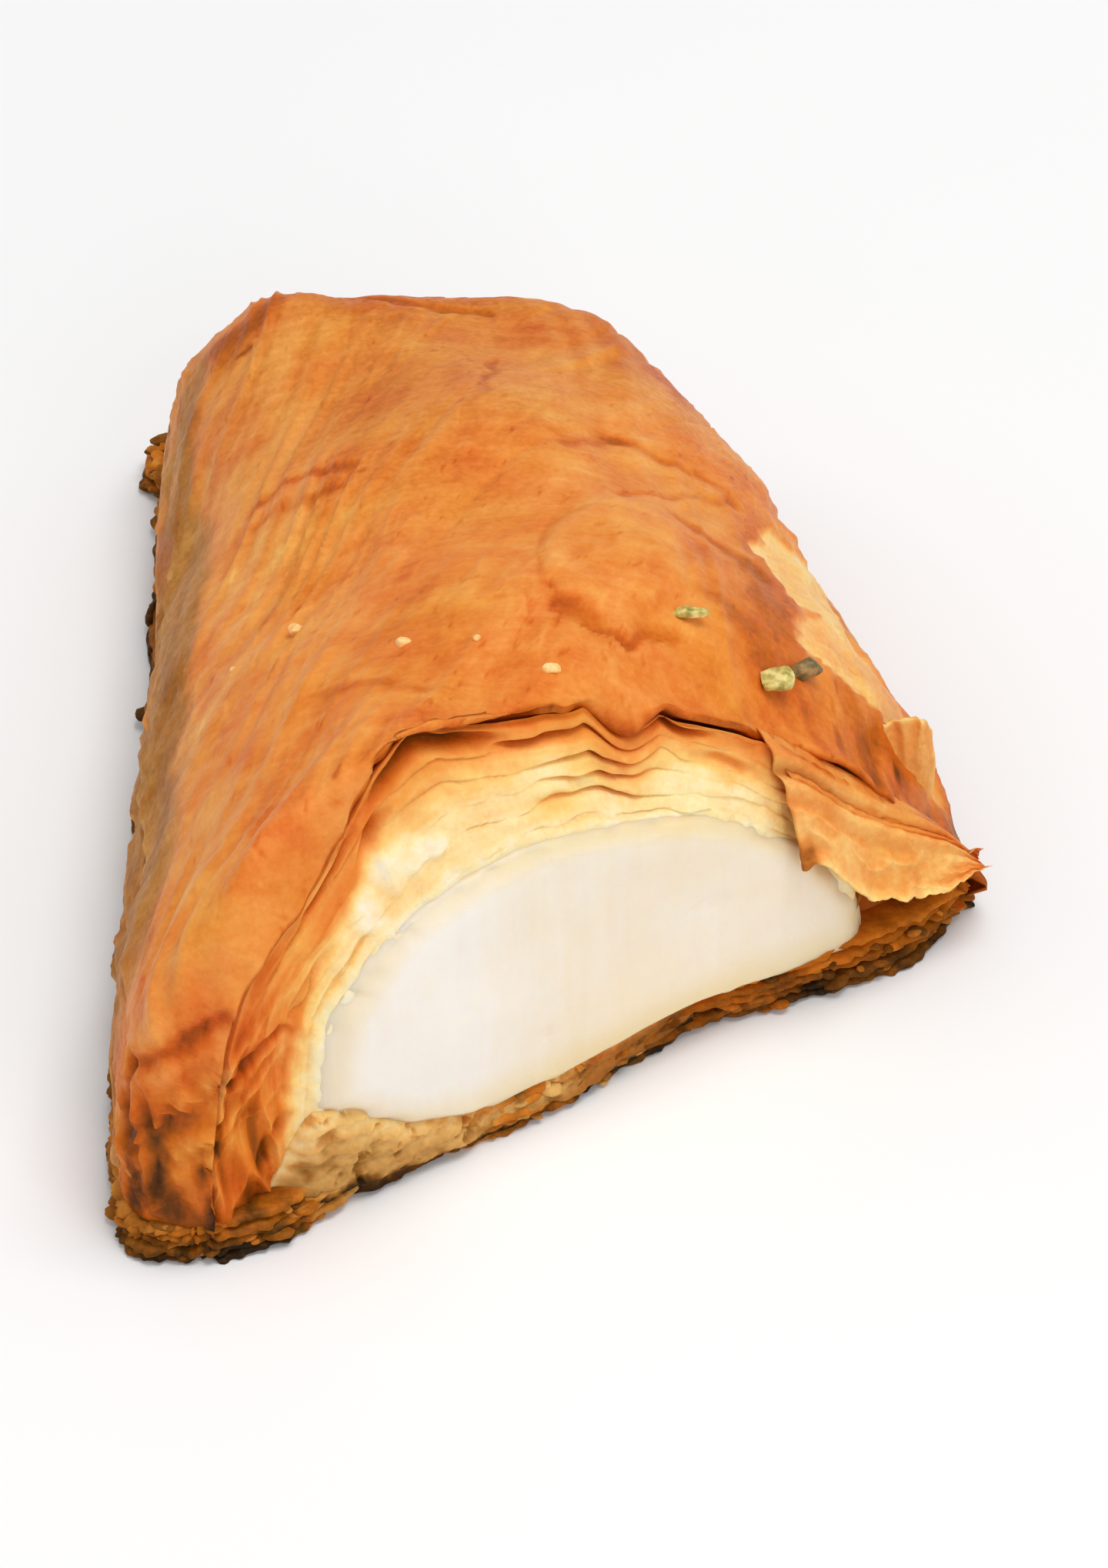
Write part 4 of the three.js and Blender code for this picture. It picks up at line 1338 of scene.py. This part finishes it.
# Leaves that peel off the walls: wall, start and end along it, height of the torn edge, how far the
# leaf goes up from there, and how far it stands out
LEAVES = [
    ("left", 0.17, 0.86, 5.2, 3.4, 1.0),
    ("left", 0.42, 0.72, 8.4, 3.0, 0.7),
    ("left", 0.66, 0.93, 7.2, 3.4, 0.8),
    ("back", 0.05, 0.93, 6.4, 3.2, 0.8),
    ("back", 0.3, 0.7, 9.4, 2.6, 0.5),
    ("right", 0.17, 0.96, 6.0, 3.4, 1.0),
    ("right", 0.22, 0.62, 8.4, 2.2, 0.6),
    ("right", 0.55, 0.9, 9.2, 3.0, 0.6),
]
LEAF_COLUMNS, LEAF_ROWS = 170, 14
LEAF_LOWEST = 3.3
LEAF_THICKNESS = 0.3

# About how long each wall is, and how soaked its leaves are; the left wall's soaked, darker leaves are
# partly painted shade
WALL_LENGTHS = {"left": 90, "back": 34, "right": 90}
LEAF_TAN = {"left": 0.6, "back": 0.12, "right": 0.12}


def wall(side, along, z):
    """Points of a side wall at places along it and heights, and the way out of it."""
    deep = 0.35 * np.linspace(0, 1, 240) ** 2
    points = np.zeros(z.shape + (2,))
    for k, place in enumerate(along):
        u, v = {"left": (deep, place), "right": (1 - deep, place), "back": (place, 1 - 0.8 * deep)}[side]
        section = crust_top(u, v)
        for axis in (0, 1):
            points[:, k, axis] = np.interp(z[:, k], section[:, 2], section[:, axis])
    legs = {"left": (0, LEFT_LEG), "back": (LEFT_LEG, BACK_LEG), "right": (1 - CUT_LEG, -RIGHT_LEG)}
    start, share = legs[side]
    return points, rim(start + share * along)[1]


def side_leaves():
    made = Build()
    for number, (side, start, end, height, tall, reach) in enumerate(LEAVES):
        seed = 141 + 7 * number
        f, w = grid(LEAF_COLUMNS, LEAF_ROWS)
        place = mix(start, end, f) * WALL_LENGTHS[side]
        ends = clamp(np.sin(np.pi * f)) ** 0.45
        edge = height + 0.9 * noise(place / 9, number, seed) + 0.5 * layered(place / 2.4, 0, seed + 1, 4)
        z = np.maximum(edge + tall * ends * (1 - w), LEAF_LOWEST)
        points, out = wall(side, mix(start, end, f[0]), z)
        away = mix(-0.5, reach * ends * (0.75 + 0.5 * noise(place / 6, 0, seed + 2)), w**1.3)
        away += 0.1 * w * layered(place / 1.8, w * 2, seed + 3, 3) - 0.6 * (1 - ends)
        # The left wall's leaves are darker, partly as painted shade of that wall.
        bake = 0.46 + (0.1 if side == "left" else 0) - 0.14 * rise(w, 0.84, 0.16)
        bake += 0.1 * layered(place / 3.5, w * 1.5, seed + 4, 3) + 0.04 * noise(place / 0.8, w, seed + 5)
        face = np.concatenate([points + out * away[..., None], z[..., None]], axis=2)
        behind = face - np.concatenate([out, 0 * out[:, :1]], axis=1) * LEAF_THICKNESS
        made.slab(face, behind, bake=clamp(bake), tan=LEAF_TAN[side])
    return made.make("side_leaves", GLAZED, "crust")


# The flap: the crust bends down over the cream's right end in folds and is torn off below
FLAP_SHEETS = 2
FLAP_COLUMNS, FLAP_ROWS = 150, 90

# Folds along its top: share of the way down, half width and relief
FLAP_FOLDS = [(0.09, 0.08, 0.4), (0.2, 0.07, -0.6), (0.32, 0.1, 0.45)]


def flap():
    made = Build()
    t, q = grid(FLAP_COLUMNS, FLAP_ROWS)
    for k in range(FLAP_SHEETS):
        s = mix(FLAP_START + 0.6 * q + 0.4 * noise(q * 5, 0, 101) + 0.8 * k, CUT_LENGTH - 0.8, t)
        u = s / CUT_LENGTH
        lip = crust_top(u, 0)
        tucked = (lip[..., :2] - CUT_START) @ OUT - 0.5
        ragged = 0.95 * layered(t * 11, k, 103 + k, 5) * fall(t, 1.02, 0.1) + 0.8 * k
        z = mix(lip[..., 2] - 0.2, spline(FLAP_EDGE, t) + ragged, q)
        out = mix(tucked, 2.3 - 0.9 * t**3 - 1.25 * k, q**0.55)

        # Folds run along its top, wrinkles down its face, and its torn edge curls
        wander = q + 0.05 * noise(t * 3.5, 0, 105)
        fold = bumps(wander, FLAP_FOLDS) - 0.25 * bump(wander, 0.46, 0.07) * fall(t, 0.7, 0.3)
        down = noise(t * 13 + 1.1 * q, q * 1.3, 107) + 0.5 * noise(t * 29 + 0.6 * q, q * 2.5, 109)
        shift = fold + 0.3 * down * smooth(q / 0.3) + 0.12 * layered(t * 22, q * 14, 111, 3)
        crumpled = creases(t * 7 + q * 2, q * 5 - t * 3, 118, 3)
        shift += 0.34 * (crumpled - 0.3) * rise(q, 0.35, 0.2) + 0.45 * rise(q, 0.88, 0.12)
        face = at_cut(s, out, z) + shift[..., None] * np.append(OUT * 0.75, 0.65)

        corner = fall(t, 0.12, 0.08) * rise(q, 0.7, 0.2)
        bake = 0.32 + 0.05 * down + 0.1 * layered(t * 7, q * 4, 113, 4) + 0.13 * k
        # The crumples are paler on their ridges and darker between as painted light and shade.
        bake -= 0.1 * (crumpled - 0.3) * rise(q, 0.35, 0.2)
        # Painted shade: the top band under the crust's lip and the crease of the fold below it are darker.
        bake += 0.12 * fall(q, 0.2, 0.1) + 0.16 * bump(wander, 0.2, 0.08) * (1 - t)
        bake += 0.35 * corner - 0.14 * rise(q, 0.86, 0.14) * (1 - corner) + 0.25 * rise(t, 0.9, 0.1) * q
        # The olive tan along the fold's crease is painted shade; the corner is olive brown.
        tan = 0.5 * bump(wander, 0.2, 0.12) * fall(t, 0.5, 0.3) + 0.6 * corner
        made.slab(face, face - np.append(OUT * 0.3, 0.2), bake=clamp(bake), tan=clamp(tan))
    return made.make("loose_flap", GLAZED, "crust")


# The ear: a pleated corner of the same sheet that stands up and wraps round to the right side
EAR_SHEETS = 2
EAR_COLUMNS, EAR_ROWS = 150, 50
EAR_FOOT = 6.5


def ear():
    made = Build()
    t, w = grid(EAR_COLUMNS, EAR_ROWS)
    for k in range(EAR_SHEETS):
        line = spline(EAR_LINE, t)
        pleat = np.sin(34 * t + 0.7 * w + 2.6 * noise(t * 7, 1.5 * w, 114) + 2.2 * k)
        pleat *= 0.6 + 0.5 * noise(t * 9, 2 * w, 112)
        rough = layered(t * 14, w * 3, 115, 3)
        push = (0.3 * pleat * (0.35 + 0.65 * w) + 0.12 * rough - 0.45 * k)[..., None]
        away = np.stack([0.9 * rise(t, 0.3, 0.3), -1 + rise(t, 0.3, 0.5)], -1)
        inside = np.stack([-0.45 + 0 * t, 0.45 * (1 - t)], -1)
        top = spline(EAR_TOP, t) - 0.35 + 0.35 * layered(t * 13, 3.0 * k, 117, 3) - 0.6 * k
        lean = -0.4 * rise(w, 0.6, 0.4)[..., None]
        flat = line + inside + away * (push + lean)
        face = np.concatenate([flat, mix(EAR_FOOT, top, w)[..., None]], axis=2)
        # The pleats are paler where they stand out and darker in their valleys as painted light and shade.
        bake = 0.34 - 0.09 * pleat + 0.07 * rough - 0.12 * rise(w, 0.94, 0.06) + 0.12 * k
        bake += 0.5 * fall(t, 0.07, 0.05) * fall(w, 0.66, 0.08) + 0.1 * fall(w, 0.5, 0.3)
        made.slab(face, face + [-0.1, 0.25, 0], bake=clamp(bake), tan=0.05)
    return made.make("upright_ear", GLAZED, "crust")


# Bits on the crust: u, v, half sizes along x, y and z
NUTS = [(0.765, 0.118, 1.45, 1.35, 1.2), (0.69, 0.208, 1.5, 0.7, 0.4)]
SKINS = [(0.815, 0.15, 1.6, 1.1, 0.9)]
CRUMBS = [
    (0.505, 0.165, 0.75, 0.6, 0.45),
    (0.37, 0.36, 0.65, 0.6, 0.5),
    (0.24, 0.49, 0.7, 0.65, 0.5),
    (0.152, 0.512, 0.4, 0.35, 0.3),
    (0.45, 0.3, 0.3, 0.3, 0.25),
]

# Burnt crumbs on the left edge: place, and half sizes along x, y and z
EDGE_CRUMBS = [
    (-31.5, 21.3, 1.2, 0.8, 0.9, 0.6),
    (-31.3, 33.6, 1.2, 0.5, 1.5, 0.8),
    (-31.3, 29.6, 0.9, 0.6, 0.8, 0.6),
]


def toppings():
    rng = random.Random(21)
    shape = ball(4)
    kinds = (
        ("pistachio_bits", PISTACHIO, NUTS),
        ("pistachio_skin_bit", SKIN, SKINS),
        ("pale_crumbs", CRUMB, CRUMBS),
    )
    for name, material, places in kinds:
        made = Build()
        for u, v, *size in places:
            chip(made, crust_top(u, v) + [0, 0, 0.3 * size[2]], size, rng, shape)
        made.make(name, material, "crust")


# Camera, floor and light: the sensor in millimetres, distances in metres; the view's height is
# what the camera sees at its target
SENSOR = 36.0
CAMERA_ELEVATION = math.radians(40)
CAMERA_DISTANCE = 0.55
VIEW_HEIGHT = 0.1158
TARGET = Vector((-MIDDLE[0] * MM, -MIDDLE[1] * MM, 0.012))
FLOOR_HALF = 4.0

# Soft lights: name, place, size in metres and power in watts
LAMPS = [
    ("key", (0.16, -0.05, 0.8), 0.45, 3.4),
    ("front", (0.3, -0.6, 0.35), 0.5, 1.2),
    ("left", (-0.6, 0.1, 0.45), 0.4, 0.5),
]


def camera():
    data = bpy.data.cameras.new("camera")
    data.sensor_width = SENSOR
    data.lens = SENSOR * CAMERA_DISTANCE / VIEW_HEIGHT
    data.clip_start = 0.01
    eye = new_object("camera", data)
    back = Vector((0, -math.cos(CAMERA_ELEVATION), math.sin(CAMERA_ELEVATION)))
    eye.location = TARGET + back * CAMERA_DISTANCE
    eye.rotation_euler = (math.pi / 2 - CAMERA_ELEVATION, 0, 0)
    bpy.context.scene.camera = eye


def softbox(name, place, size, power):
    data = bpy.data.lights.new(name, "AREA")
    data.shape = "SQUARE"
    data.size = size
    data.energy = power
    lamp = new_object(name, data)
    lamp.location = Vector(place)
    lamp.rotation_euler = (Vector(place) - TARGET).to_track_quat("Z", "Y").to_euler()


def studio():
    corners = [(x * FLOOR_HALF, y * FLOOR_HALF, 0) for x, y in ((-1, -1), (1, -1), (1, 1), (-1, 1))]
    mesh = bpy.data.meshes.new("floor")
    mesh.from_pydata(corners, [], [(0, 1, 2, 3)])
    mesh.materials.append(floor_material())
    floor = new_object("floor", mesh)
    for lamp in LAMPS:
        softbox(*lamp)
    world = bpy.data.worlds.new("studio")
    world.use_nodes = True
    background = world.node_tree.nodes["Background"]
    background.inputs["Color"].default_value = (1, 1, 1, 1)
    background.inputs["Strength"].default_value = 0.5
    bpy.context.scene.world = world
    bpy.context.scene.view_settings.view_transform = "Standard"
    bpy.context.scene.view_settings.look = "None"


def main():
    camera()
    studio()
    for make in (crust, cut_face, cream, soaked_sheets, foot, foot_crumbs, side_leaves, flap, ear, toppings):
        make()


main()
